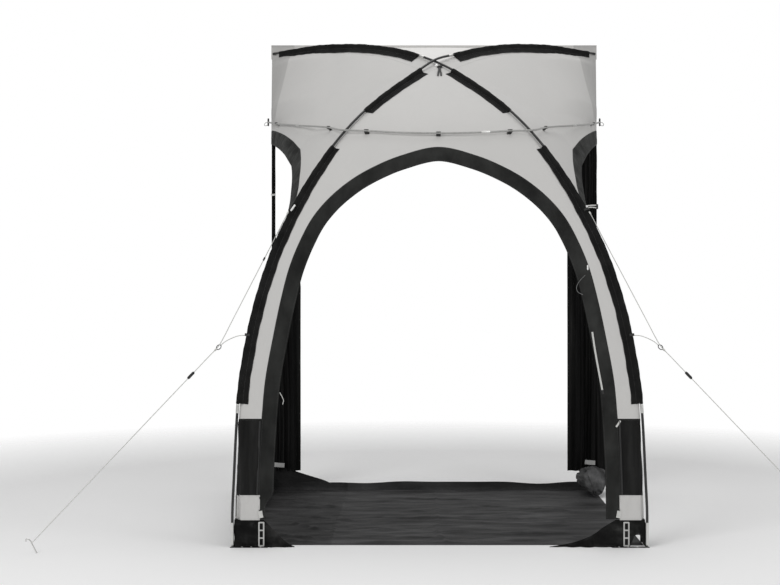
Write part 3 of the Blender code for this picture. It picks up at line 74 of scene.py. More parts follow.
DOOR_OUTLINE_SHARES = (
    (0, 0.730), (0.187, 0.714), (0.312, 0.695), (0.426, 0.671), (0.540, 0.636), (0.624, 0.598),
    (0.681, 0.557), (0.734, 0.505), (0.771, 0.448), (0.803, 0.386), (0.842, 0.300),
    (0.858, 0.229), (0.870, 0.140), (0.873, 0.0505),
)
ARCH_OUTLINE_SHARES = (
    (0, 0.821), (0.07, 0.8175), (0.225, 0.803), (0.336, 0.788), (0.42, 0.771), (0.48, 0.753),
    (0.52, 0.7395), (0.564, 0.724), (0.614, 0.704), (0.67, 0.680), (0.742, 0.652),
    (0.824, 0.612), (0.869, 0.556), (0.909, 0.466), (0.938, 0.349), (0.953, 0.229),
    (0.962, 0.140), (0.964, 0.0505),
)
LEG_SHARE, PATCH_TOP, MUD_TOP = 0.229, 0.237, 0.127
LEG_TOP = LEG_SHARE * ARCH_HEIGHT
LEG_LEAN, LADDER_SHARES = {-1: 0.029, 1: 0.017}, {"left": 0.8607, "right": 0.9010}
DOOR_BAND, ARCH_BAND, BAND_LIFT = 0.068, 0.075, 0.0007
BULGES = {"front": 0.13, "side": 0.08}
BULGE_RUN, BULGE_WIDTH, APEX_STOP = 0.25, 0.12, 0.006
CORNER_FOLD, CORNER_FOLD_DEPTH = ((2.18, 2.50), (0.905, 0.845)), 0.034  # heights, and places along X
BROW_HEIGHT, BROW_DIP = 0.7671 * ARCH_HEIGHT, 0.034
BROW_END_HEIGHT, BROW_END_INSET = 0.8424 * ARCH_HEIGHT, 0.022
BROW_R, BROW_STAND = 0.00475, 0.0196
BROW_SIDE_SHARES = (1.0, 0.86, 0.71, 0.43, 0.17)
BROW_FRONT_SHARES = (-0.74, -0.38, 0.0, 0.38, 0.74)
BROW_CLIP_STOPS = (2, 4, 6, 8, 10, 12, 14)
GUY_ROUTE = (
    (-0.7222, -0.6646, 1.5670), (-0.7408, -0.6763, 1.5300), (-0.7830, -0.7045, 1.4400),
    (-0.8310, -0.7370, 1.3400), (-0.8790, -0.7695, 1.2400), (-0.9270, -0.8020, 1.1400),
    (-0.9750, -0.8345, 1.0400), (-1.0080, -0.8585, 0.9700), (-1.0300, -0.8750, 0.9300),
    (-1.0710, -0.8832, 0.8860), (-1.1120, -0.8914, 0.8420), (-1.1940, -0.9078, 0.7540),
    (-1.2760, -0.9242, 0.6660), (-1.3580, -0.9406, 0.5780), (-1.4400, -0.9570, 0.4900),
    (-1.5220, -0.9734, 0.4020), (-1.6040, -0.9898, 0.3140), (-1.6860, -1.0062, 0.2260),
    (-1.7680, -1.0226, 0.1380), (-1.8500, -1.0390, 0.0500),
)
BRANCH_ROUTE = (
    (-0.9042, -0.8344, 0.9786), (-0.9149, -0.8368, 0.9809), (-0.9400, -0.8440, 0.9790),
    (-0.9720, -0.8560, 0.9675), (-1.0014, -0.8700, 0.9508), (-1.0164, -0.8708, 0.9376),
)
SIDES = {"left": -1, "right": 1}

# Heights of joints and sleeves on the arch poles, and shares of their run
FOOT_TOP, KNEE_HEIGHTS, SLEEVE_KNEE = 0.115 - 0.053, (0.621, 0.663), 0.665
CROSSING_SHARES, POLE_END_SHARE = (0.534, 0.545), 0.993
SLEEVE_SHARES = (0.229, 0.310, 0.456, 0.550, 0.972)
CAP_LENGTH, CAP_WALL, FERRULE_RADII = 0.018, 0.0009, (0.0067, 0.0073, 0.0076)
BROW_CLIP_HALF, BROW_FERRULE_HALF, BROW_FERRULE_X = 0.0119, 0.0225, (-0.745, 0.225, 0.740)
BROW_FERRULE_RADII = (0.0054, 0.0060, 0.0062, 0.0062)

# Cords, curtains and small pieces
CORD_R, RING_STOP, GUY_LOOP_R = 0.002, 50, SLEEVE_R + 0.0036
GUY_LOOPS = (("top", 1.576, GUY_ROUTE[0]), ("low", 0.982, BRANCH_ROUTE[0]))
THREAD_R, STITCH_LIFT, SHEET_ROWS = 0.00045, 0.0004, 120
CURTAIN_INSET, CURTAIN_GAP, CURTAIN_HEM = 0.022, 0.0025, 0.115
CURTAIN_WIDTH, CURTAIN_TIED = 0.172, 0.022
CURTAIN_WING = ((0.115, 0.234, 0.595, 0.785, 0.87), (0.088, 0.076, 0.030, 0.008, 0.002))
SKIRT_TURN = 0.85
SKIRT_WINGS = {
    -1: ((0.70, 0.02), (0.73, 0.13), (0.77, 0.38), (0.82, 0.78), (SKIRT_TURN, 1.0)),
    1: ((0.53, 0.02), (0.62, 0.13), (0.72, 0.38), (0.80, 0.78), (SKIRT_TURN, 1.0)),
}
PATCH_TAB = ((0, 0.168), (0.003, 0.150), (0.006, 0.136))
SHEET_FRONT_INSET, SHEET_REAR_INSET, SHEET_LIP, SHEET_UP = 0.055, 0.030, 0.052, 0.0030
HEAP_LENGTH, HEAP_WIDTH, HEAP_HEIGHT, HEAP_OVERHANG, HEAP_INSET = 0.25, 0.25, 0.178, 0.09, 0.08
EYELET_INSETS = (0.045, 0.088, 0.131)
HEM_TAPES = (("left", -0.944, -0.880, 0.152, 0.052), ("right", 0.884, 0.944, 0.170, 0.075))
ZIP_ROUTE = ((0.8475, 0.243), (0.8445, 0.35), (0.8405, 0.47), (0.8365, 0.583))
NARROW_SHARE = 0.35  # below this share of its own box, a cloth's width is taken from its area

# Solids that are shown as they are, by their finish
BARE_SOLIDS = {
    "plastic": (*(f"brow_clip_{k}" for k in range(1, 8)), "brow_hook_left", "brow_hook_right",
                "left_guy_runner", "right_guy_runner"),
    "steel": ("left_foot_tube", "left_guy_peg", "right_foot_tube", "right_guy_peg"),
    "ring": ("left_guy_ring", "right_guy_ring"), "white": ("door_toggle",),
}

# The studio: the camera's place in metres, and its picture in pixels
EYE, SENSOR = (-0.124, -7.41375, 1.24), 36.0
PICTURE_WIDTH, FOCAL_PIXELS, SHIFT_PIXELS = 780, 1406, (-23, -12.5)
FLOOR_HALF, AIR_STRENGTH = 14, 0.46
LIGHTS = (  # name, place, aim, size, and share of the key light's power
    ("key_light", (-3.4, -5.2, 4.6), (0, -0.2, 1.2), 3.4, 1.0),
    ("fill_light", (4.6, -4.2, 3.0), (0, 0, 1.1), 3.0, 0.45),
    ("top_light", (0.4, 0.6, 5.6), (0, 0, 1.0), 4.0, 0.38),
)


# Curves and the awning's surfaces
def monotone_curve(points, per_span):
    """A smooth curve through every point that never overshoots them."""
    p = np.array(points, float)
    span = np.linalg.norm(np.diff(p, axis=0), axis=1)
    rise = np.diff(p, axis=0) / span[:, None]
    slope = np.zeros_like(p)
    slope[0], slope[-1] = rise[0], rise[-1]
    for k in range(1, len(p) - 1):
        before, after = 2 * span[k] + span[k - 1], span[k] + 2 * span[k - 1]
        for axis in range(p.shape[1]):
            a, b = rise[k - 1][axis], rise[k][axis]
            if a * b > 0:
                slope[k][axis] = (before + after) / (before / a + after / b)
    out = []
    for k in range(len(p) - 1):
        for u in np.linspace(0, 1, per_span, endpoint=False):
            start, end = 2 * u**3 - 3 * u**2 + 1, -2 * u**3 + 3 * u**2
            leave, arrive = u**3 - 2 * u**2 + u, u**3 - u**2
            out.append(start * p[k] + leave * span[k] * slope[k] + end * p[k + 1]
                       + arrive * span[k] * slope[k + 1])
    return np.array(out + [p[-1]])


def rounded_curve(points, per_span):
    """A smooth curve through every point."""
    p = [np.array(q, float) for q in points]
    p = [2 * p[0] - p[1], *p, 2 * p[-1] - p[-2]]
    out = []
    for a, b, c, d in zip(p, p[1:], p[2:], p[3:]):
        knots = [0.0]
        for q, r in ((a, b), (b, c), (c, d)):
            knots.append(knots[-1] + math.sqrt(np.linalg.norm(r - q)))
        t0, t1, t2, t3 = knots
        for t in np.linspace(t1, t2, per_span, endpoint=False):
            u = (t1 - t) / (t1 - t0) * a + (t - t0) / (t1 - t0) * b
            v = (t2 - t) / (t2 - t1) * b + (t - t1) / (t2 - t1) * c
            w = (t3 - t) / (t3 - t2) * c + (t - t2) / (t3 - t2) * d
            x = (t2 - t) / (t2 - t0) * u + (t - t0) / (t2 - t0) * v
            y = (t3 - t) / (t3 - t1) * v + (t - t1) / (t3 - t1) * w
            out.append((t2 - t) / (t2 - t1) * x + (t - t1) / (t2 - t1) * y)
    return np.array(out + [p[-2]])


def spread(line, count):
    """Points at even lengths along a line."""
    p = np.array(line, float)
    arc = np.concatenate([[0], np.cumsum(np.linalg.norm(np.diff(p, axis=0), axis=1))])
    at = np.linspace(0, arc[-1], count)
    return np.stack([np.interp(at, arc, p[:, k]) for k in range(p.shape[1])], axis=1)


def offset_line(points, distance, toward):
    """A flat line moved square to itself, to the side that holds the point toward."""
    p = np.array(points, float)
    heading = np.gradient(p, axis=0)
    heading /= np.linalg.norm(heading, axis=1)[:, None]
    square = np.stack([-heading[:, 1], heading[:, 0]], axis=1)
    middle = len(p) // 2
    if float(np.dot(square[middle], np.array(toward) - p[middle])) < 0:
        square = -square
    return p + square * distance


POLE_PLANE = monotone_curve([(a * DIAGONAL, b * ARCH_HEIGHT) for a, b in POLE_ARCH_SHARES], 24)
POLE_HEADING = np.gradient(POLE_PLANE, axis=0)
POLE_HEADING /= np.linalg.norm(POLE_HEADING, axis=1)[:, None]
RIDGE_PLANE = POLE_PLANE + RIDGE_OFFSET * np.stack([POLE_HEADING[:, 1], -POLE_HEADING[:, 0]], axis=1)
POLE_ARC = np.concatenate([[0], np.cumsum(np.linalg.norm(np.diff(POLE_PLANE, axis=0), axis=1))])
FRONT_RIDGE = RIDGE_PLANE[RIDGE_PLANE[:, 0] < (0.5 + BULGE_WIDTH / 2) * DIAGONAL]


def ridge_share(height):
    """The share of the run at which the front's ridge reaches a height."""
    return np.interp(height, FRONT_RIDGE[:, 1], FRONT_RIDGE[:, 0]) / DIAGONAL


def ridge_height(share):
    """The cloth ridge's height at a share of its run."""
    return np.interp(np.asarray(share) * DIAGONAL, RIDGE_PLANE[:, 0], RIDGE_PLANE[:, 1])


APEX = float(ridge_height(0.5))


def swell(share):
    """How far a panel bulges at a share of the run, from nothing to one."""
    return np.exp(-(((share - BULGE_RUN) / BULGE_WIDTH) ** 2))


def on_front(x, z):
    """Points of the front cloth's outer face."""
    x, z = np.broadcast_arrays(np.asarray(x, float), np.asarray(z, float))
    share = np.minimum(ridge_share(z), 0.5)
    limit = np.maximum(HALF_WIDTH * (1 - 2 * share), HALF_WIDTH * APEX_STOP)
    across = np.clip(x / limit, -1, 1)
    y = FRONT_Y + DEPTH * share - BULGES["front"] * (1 - across**2) * swell(share)
    return np.stack([x, y, z], axis=-1)


def on_side(side, y, z):
    """Points of a side cloth's outer face."""
    y, z = np.broadcast_arrays(np.asarray(y, float), np.asarray(z, float))
    top = ridge_height(np.clip((y - FRONT_Y) / DEPTH, 0, 1))
    lowered = np.where(y > MID_Y, z * APEX / top, z)
    share = np.minimum(ridge_share(np.minimum(lowered, APEX)), 0.5)
    front_x, start_y = HALF_WIDTH * (1 - 2 * share), FRONT_Y + DEPTH * share
    along = np.clip((y - start_y) / (REAR_Y - start_y), 0, 1)
    x = front_x + (HALF_WIDTH - front_x) * along
    x = x + BULGES["side"] * 4 * along * (1 - along) * swell(share)
    return np.stack([side * x, y, z], axis=-1)


def normal_at(place, a, b, step=0.0015):
    """Outward normals of a surface function at its two coordinates."""
    n = np.cross(place(a + step, b) - place(a - step, b), place(a, b + step) - place(a, b - step))
    n /= np.linalg.norm(n, axis=-1)[..., None]
    inward = ((place(a, b) - np.array([0, MID_Y, APEX / 2])) * n).sum(axis=-1) < 0
    return np.where(inward[..., None], -n, n)


def front_normal(x, z):
    """Outward normals of the front cloth."""
    return normal_at(on_front, np.asarray(x, float), np.asarray(z, float))


def side_normal(side, y, z):
    """Outward normals of a side cloth."""
    return normal_at(lambda a, b: on_side(side, a, b), np.asarray(y, float), np.asarray(z, float))


def split_outline(shares, edge, span, mirror=False):
    """An outline's part above the legs and its part down the leg; mirror rounds its peak."""
    lead = [(a * span, b * ARCH_HEIGHT) for a, b in shares]
    at_leg = next(k for k, share in enumerate(shares) if share[1] <= LEG_SHARE)
    before = [(-a, b) for a, b in lead[1:2]] if mirror else []
    parts = []
    for part in (before + lead[:at_leg + 1], lead[at_leg:]):
        line = rounded_curve(part, 12)
        line = line[12:] if mirror and not parts else line
        parts.append(np.stack([[edge(x) for x in line[:, 0]], line[:, 1]], axis=1))
    return parts


DOOR_UPPER, DOOR_LOWER = split_outline(DOOR_OUTLINE_SHARES, lambda x: x, HALF_WIDTH, True)
ARCH_UPPER, ARCH_LOWER = split_outline(ARCH_OUTLINE_SHARES, lambda y: CLOTH_REAR_Y - y, DEPTH)
DOOR_LINE = np.concatenate([DOOR_UPPER, DOOR_LOWER[1:]])
ARCH_LINE = np.concatenate([ARCH_UPPER, ARCH_LOWER[1:]])
DOOR_MIDDLE, ARCH_MIDDLE = (0, ARCH_HEIGHT / 4), (MID_Y, ARCH_HEIGHT / 4)


def leg_at(line, height):
    """The first coordinate of an outline's leg at a height."""
    p = line[int(np.argmax(line[:, 1])):][::-1]
    return np.interp(height, p[:, 1], p[:, 0])


def pole_point(side, arc):
    """A place on an arch pole's middle line; the left pole rises over the right at the crossing."""
    run, rise = (np.interp(arc, POLE_ARC, POLE_PLANE[:, k]) for k in (0, 1))
    share = run / DIAGONAL
    if side < 0:
        rise = rise + CROSSING_LIFT * math.exp(-(((share - 0.5) / CROSSING_SPREAD) ** 2))
    return Vector((side * HALF_WIDTH * (1 - 2 * share), FRONT_Y + DEPTH * share, rise))


CROSS_SLOPE = POLE_HEADING[np.argmin(abs(POLE_PLANE[:, 0] - DIAGONAL / 2))]
CROSS_RUN = CROSS_SLOPE[0] * DEPTH / DIAGONAL
CROSSING_LIFT = (2 * POLE_R + POLE_CLEAR) * math.hypot(CROSS_RUN, CROSS_SLOPE[1]) / CROSS_RUN


def pole_axes(side, arc):
    """An arch pole's heading, and the two axes square to it."""
    heading = (pole_point(side, arc + AXIS_STEP) - pole_point(side, arc - AXIS_STEP)).normalized()
    level = Vector((DEPTH, side * 2 * HALF_WIDTH, 0)).normalized()
    return heading, level, heading.cross(level).normalized()


def arc_at_height(height):
    """The length along an arch pole's front half to a height."""
    rising = POLE_PLANE[:, 0] < 0.5 * DIAGONAL
    return float(np.interp(height, POLE_PLANE[rising, 1], POLE_ARC[rising]))


def arc_at_share(share):
    """The length along an arch pole to a share of its run."""
    return float(np.interp(share * DIAGONAL, POLE_PLANE[:, 0], POLE_ARC))


# Folds of the cloth, in metres along its normal
def drift(points, size, seed, count=9):
    """Smooth uneven waves about as long as size; size may differ along X, Y and Z."""
    rng = np.random.default_rng(seed)
    total = np.zeros(points.shape[:-1])
    for _ in range(count):
        way = rng.normal(size=3)
        way = way / np.linalg.norm(way) * 2 * math.pi / np.array(size)
        total += np.sin(points @ way + rng.uniform(0, 2 * math.pi))
    return total / math.sqrt(count)


def crease(points, start, end, depth, width):
    """One soft ridge or fold line from start to end, that fades out at both ends."""
    a, b = np.array(start, float), np.array(end, float)
    along = ((points - a) @ (b - a)) / ((b - a) @ (b - a))
    near = np.clip(along, 0, 1)
    away = np.linalg.norm(points - (a + near[..., None] * (b - a)), axis=-1)
    fade = np.clip(np.minimum(along, 1 - along) * 5 + 0.15, 0, 1)
    return depth * fade * np.exp(-((away / width) ** 2))


def tug(points, at, depth, reach, folds, turn=0.0):
    """Creases that run out from a place where the cloth is pulled."""
    d = points - np.array(at, float)
    r = np.linalg.norm(d, axis=-1) / reach
    angle = np.arctan2(d[..., 2], d[..., 0] + d[..., 1]) + turn
    spokes = 0.5 * np.cos(folds * angle) * r * np.exp(1 - 2.2 * r) * (r < 3)
    return depth * (np.exp(-((2.2 * r) ** 2)) + spokes)


def hem_fade(shape, rows=(4, 4), columns=(4, 4)):
    """A share that is nothing at the edges of a grid and one inside it."""
    def side(count, low, high):
        """The share along one side, from so many points at each end."""
        k = np.arange(count, dtype=float)
        a = np.clip(k / low, 0, 1) if low else np.ones(count)
        b = np.clip((count - 1 - k) / high, 0, 1) if high else np.ones(count)
        s = np.minimum(a, b)
        return s * s * (3 - 2 * s)
    return side(shape[0], *rows)[:, None] * side(shape[1], *columns)[None, :]


# Meshes
FINISHES = {}
SKIN = {}  # outer faces of the finished cloth by name, for the seams' stitches


def grid_normals(grid, toward):
    """Unit normals of a grid of points, on the side that looks toward a direction."""
    n = np.cross(np.gradient(grid, axis=0), np.gradient(grid, axis=1))
    n /= np.maximum(np.linalg.norm(n, axis=2), 1e-12)[:, :, None]
    middle = (grid.shape[0] // 2, grid.shape[1] // 2)
    return -n if float(n[middle] @ np.array(toward)) < 0 else n


def ride(made, body="awning", replaces=()):
    """Says what a piece rides on and which solids it covers."""
    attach(made, body)
    if replaces:
        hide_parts(*([replaces] if isinstance(replaces, str) else replaces))
    return made


def link_new(name, data):
    """A new object in the scene."""
    made = bpy.data.objects.new(name, data)
    bpy.context.scene.collection.objects.link(made)
    return made


def face_outwards(mesh):
    """Turns the faces of a closed mesh outwards."""
    shape = bmesh.new()
    shape.from_mesh(mesh)
    bmesh.ops.recalc_face_normals(shape, faces=shape.faces)
    if shape.calc_volume(signed=True) < 0:
        bmesh.ops.reverse_faces(shape, faces=shape.faces)
    shape.to_mesh(mesh)
    shape.free()


def make(name, verts, faces, finish, uv=None, smooth=60, mend=False, body="awning", replaces=()):
    """A piece from points and faces, in its finish; mend turns its faces outwards."""
    mesh = bpy.data.meshes.new(name)
    mesh.from_pydata([tuple(map(float, v)) for v in verts], [], faces)
    if uv is not None:
        layer = mesh.uv_layers.new(name="cut")
        layer.data.foreach_set("uv", np.array([uv[i] for f in faces for i in f], float).ravel())
    mesh.materials.append(FINISHES[finish])
    mesh.shade_smooth()
    mesh.set_sharp_from_angle(angle=math.radians(smooth))
    if mend:
        face_outwards(mesh)
    return ride(link_new(name, mesh), body, replaces)


def grid_area(grid):
    """Twice the area of a grid of points, from the two triangles of each cell."""
    low, side, up, far = grid[:-1, :-1], grid[:-1, 1:], grid[1:, :-1], grid[1:, 1:]
    quads = np.linalg.norm(np.cross(up - low, side - low), axis=2)
    return quads + np.linalg.norm(np.cross(up - far, side - far), axis=2)


def cloth(name, grid, toward, finish, relief=None, lift=0.0, thickness=CLOTH,
          replaces=()):
    """A sheet of cloth: its outer face is the grid moved by its folds, its wall goes inwards."""
    grid = grid + grid_normals(grid, toward) * lift
    grid[..., 1] = np.minimum(grid[..., 1], CLOTH_REAR_Y)
    n = grid_normals(grid, toward)
    if relief is not None:
        grid = grid + n * relief[..., None]
        n = grid_normals(grid, toward)
    SKIN[name] = grid.copy()
    inner = grid - n * thickness
    for layer in (grid, inner):
        layer[..., 1] = np.minimum(layer[..., 1], CLOTH_REAR_Y)
        layer[..., 2] = np.maximum(layer[..., 2], FLOOR_GAP)
    high, wide = grid.shape[:2]
    back, row, column = high * wide, high // 2, wide // 2
    across = np.linalg.norm(np.diff(grid, axis=1), axis=2)
    along = np.linalg.norm(np.diff(grid, axis=0), axis=2)
    u = np.concatenate([np.zeros((high, 1)), np.cumsum(across, axis=1)], axis=1)
    u -= u[:, column][:, None]
    v = np.concatenate([[0], np.cumsum(along[:, column])])[:, None] * np.ones((1, wide))
    uv = np.stack([u, v], axis=2).reshape(-1, 2)
    here = grid[row, column]
    facing = np.cross(grid[row + 1, column] - here, grid[row, column + 1] - here)
    flip = float(facing @ n[row, column]) < 0
    faces = []
    for i in range(high - 1):
        for a in range(i * wide, i * wide + wide - 1):
            b = a + wide
            quad = (a, a + 1, b + 1, b) if flip else (a, b, b + 1, a + 1)
            faces += [quad, tuple(back + k for k in reversed(quad))]
    rim = [j for j in range(wide)] + [i * wide + wide - 1 for i in range(1, high)]
    rim += [(high - 1) * wide + j for j in range(wide - 2, -1, -1)]
    rim += [i * wide for i in range(high - 2, 0, -1)]
    for a, b in zip(rim, rim[1:] + rim[:1]):
        faces.append((b, a, back + a, back + b) if flip else (a, b, back + b, back + a))
    verts = np.concatenate([grid.reshape(-1, 3), inner.reshape(-1, 3)])
    made = make(name, verts, faces, finish, np.concatenate([uv, uv]), replaces=replaces)
    area = float(grid_area(grid).sum()) / 2
    width, length = float(across.sum(axis=1).max()), float(along.sum(axis=0).max())
    if area < NARROW_SHARE * width * length:
        width = area / length
    return made


def heading_at(line, k):
    """The direction of a line of points at one of them."""
    return (line[min(k + 1, len(line) - 1)] - line[max(k - 1, 0)]).normalized()


def frames(line):
    """Two axes square to a line at each point, turned as little as possible."""
    first = (line[1] - line[0]).normalized()
    start = Vector((0, 0, 1)) if abs(first.z) < 0.9 else Vector((1, 0, 0))
    u, out = (start - first * start.dot(first)).normalized(), []
    for k in range(len(line)):
        heading = heading_at(line, k)
        u = (u - heading * u.dot(heading)).normalized()
        out.append((u, heading.cross(u)))
    return out


def tube(name, centres, radii, finish, replaces=(), sides=16, axes=None):
    """A round bar along a line, with a radius for all of it or one for each point."""
    centres = [Vector(c) for c in centres]
    if not hasattr(radii, "__len__"):
        radii = [radii] * len(centres)
    verts, faces, uv, run = [], [], [], 0.0
    for k, (centre, radius, (u, v)) in enumerate(zip(centres, radii, axes or frames(centres))):
        run += (centre - centres[k - 1]).length if k else 0.0
        for s in range(sides):
            turn = 2 * math.pi * s / sides
            verts.append(centre + radius * (math.cos(turn) * u + math.sin(turn) * v))
            uv.append((s / sides * 2 * math.pi * radius, run))
    for i in range(len(centres) - 1):
        for s in range(sides):
            a, b = i * sides + s, i * sides + (s + 1) % sides
            faces.append((a, b, b + sides, a + sides))
    last = (len(centres) - 1) * sides
    faces += [tuple(reversed(range(sides))), tuple(last + s for s in range(sides))]
    return make(name, verts, faces, finish, uv, 45, replaces=replaces)


def rounded_tube(name, centres, radius, finish, **more):
    """A bar whose two ends are rounded over."""
    c = [Vector(p) for p in centres]
    start, end = (c[1] - c[0]).normalized(), (c[-1] - c[-2]).normalized()
    ease = min(radius * 0.5, (c[1] - c[0]).length * 0.4, (c[-1] - c[-2]).length * 0.4)
    line = [c[0], c[0] + start * ease * 0.3, c[0] + start * ease, *c[1:-1],
            c[-1] - end * ease, c[-1] - end * ease * 0.3, c[-1]]
    over = [radius * 0.6, radius * 0.88, radius]
    return tube(name, line, over + [radius] * (len(c) - 2) + over[::-1], finish, **more)


def loft(name, sections, finish, holes=None, replaces=(), smooth=40):
    """A solid through like outlines, with a bore through like holes if they are given."""
    verts, faces, uv = [], [], []
    count, bore = len(sections[0]), len(holes[0]) if holes else 0
    run = 0.0
    for k, section in enumerate(sections):
        run += (Vector(section[0]) - Vector(sections[k - 1][0])).length if k else 0.0
        ring = list(section) + (list(holes[k]) if holes else [])
        around = np.cumsum([0] + [(Vector(b) - Vector(a)).length for a, b in zip(ring, ring[1:])])
        verts += ring
        uv += [(float(a), run) for a in around]
    ring = count + bore
    for i in range(len(sections) - 1):
        for start, size in ((0, count), (count, bore)):
            for k in range(size):
                a, b = i * ring + start + k, i * ring + start + (k + 1) % size
                faces.append((a, b, b + ring, a + ring))
    for i in (0, len(sections) - 1):
        loops = [[Vector(p) for p in part[i]] for part in (sections, holes) if part]
        faces += [tuple(i * ring + k for k in triangle) for triangle in tessellate_polygon(loops)]
    return make(name, verts, faces, finish, uv, smooth, True, replaces=replaces)


def hoop(name, centre, axis, radius, wire, finish, stretch=1.0, way=None):
    """A closed ring of round wire about an axis, made longer by a stretch along a way."""
    axis = Vector(axis).normalized()
    u = Vector(way) - axis * axis.dot(Vector(way)) if way else axis.orthogonal()
    u.normalize()
    v = axis.cross(u)
    verts, faces, uv, around, sides = [], [], [], 36, 12
    for i in range(around):
        turn = 2 * math.pi * i / around
        spoke = math.cos(turn) * u + math.sin(turn) * v
        shift = u * math.cos(turn) * radius * (stretch - 1)
        for j in range(sides):
            roll = 2 * math.pi * j / sides
            out = radius + wire * math.cos(roll)
            verts.append(Vector(centre) + shift + spoke * out + axis * wire * math.sin(roll))
            uv.append((turn * radius, roll * wire))
    for i in range(around):
        for j in range(sides):
            a, b = i * sides + j, i * sides + (j + 1) % sides
            c, d = (i + 1) % around * sides + (j + 1) % sides, (i + 1) % around * sides + j
            faces.append((a, b, c, d))
    return make(name, verts, faces, finish, uv, mend=True)


def ribbon(name, centres, ups, width, finish, thickness=0.0016):
    """A flat strap along a line: ups are the outward normals of its face."""
    line = [Vector(c) for c in centres]
    sections = []
    for k, centre in enumerate(line):
        heading = heading_at(line, k)
        up = Vector(ups[k] if hasattr(ups[0], "__len__") else ups)
        up = (up - heading * up.dot(heading)).normalized()
        half, deep = heading.cross(up) * width / 2, up * thickness
        edge = deep * 0.3
        sections.append([centre - half * 0.97, centre - half + edge, centre - half * 0.97 + deep,
                         centre + half * 0.97 + deep, centre + half + edge, centre + half * 0.97])
    return loft(name, sections, finish, smooth=50)


def plate(name, outline, holes, place, thickness, finish, round_over, body="awning", replaces=()):
    """A flat plate with holes; place turns its two flat coordinates and a depth into a point."""
    loops = [outline, *holes]
    verts, faces, starts = [], [], []
    for level in (0, thickness):
        for loop in loops:
            starts.append(len(verts))
            verts += [place(*p, level) for p in loop]
    top = len(verts) // 2
    for start, loop in zip(starts, loops):
        for k in range(len(loop)):
            a, b = start + k, start + (k + 1) % len(loop)
            faces.append((a, b, top + b, top + a))
    for triangle in tessellate_polygon([[Vector((*p, 0)) for p in loop] for loop in loops]):
        faces += [tuple(triangle), tuple(top + k for k in triangle)]
    made = make(name, verts, faces, finish, None, 40, True, body, replaces)
    soft = made.modifiers.new("round_over", "BEVEL")
    soft.width, soft.segments, soft.limit_method = round_over, 2, "ANGLE"
    soft.angle_limit = math.radians(50)
    return made


def rounded_loop(x0, x1, y0, y1, radius, count=6):
    """A rectangle with rounded corners, anticlockwise."""
    out = []
    for cx, cy, start in ((x1 - radius, y0 + radius, -90), (x1 - radius, y1 - radius, 0),
                          (x0 + radius, y1 - radius, 90), (x0 + radius, y0 + radius, 180)):
        for k in range(count):
            turn = math.radians(start + 90 * k / (count - 1))
            out.append((cx + radius * math.cos(turn), cy + radius * math.sin(turn)))
    return out


# Procedural finishes
class Reading:
    """A value in a shader: arithmetic on it adds the Math nodes."""

    def __init__(self, tree, socket):
        self.tree, self.socket = tree, socket

    def _math(self, operation, other=None, flipped=False, clamp=False):
        """A Math node on this value and perhaps another one."""
        node = self.tree.nodes.new("ShaderNodeMath")
        node.operation, node.use_clamp = operation, clamp
        pair = [self, other] if not flipped else [other, self]
        for socket, value in zip(node.inputs, pair):
            if isinstance(value, Reading):
                self.tree.links.new(value.socket, socket)
            elif value is not None:
                socket.default_value = value
        return Reading(self.tree, node.outputs[0])

    def __add__(self, other):
        return self._math("ADD", other)

    def __sub__(self, other):
        return self._math("SUBTRACT", other)

    def __rsub__(self, other):
        return self._math("SUBTRACT", other, True)

    def __mul__(self, other):
        return self._math("MULTIPLY", other)

    def __pow__(self, other):
        return self._math("POWER", other)

    __radd__, __rmul__ = __add__, __mul__

    def wave(self):
        """Its sine."""
        return self._math("SINE")

    def size(self):
        """The value without its sign."""
        return self._math("ABSOLUTE")

    def kept(self):
        """The value kept between nothing and one."""
        return self._math("ADD", 0.0, clamp=True)


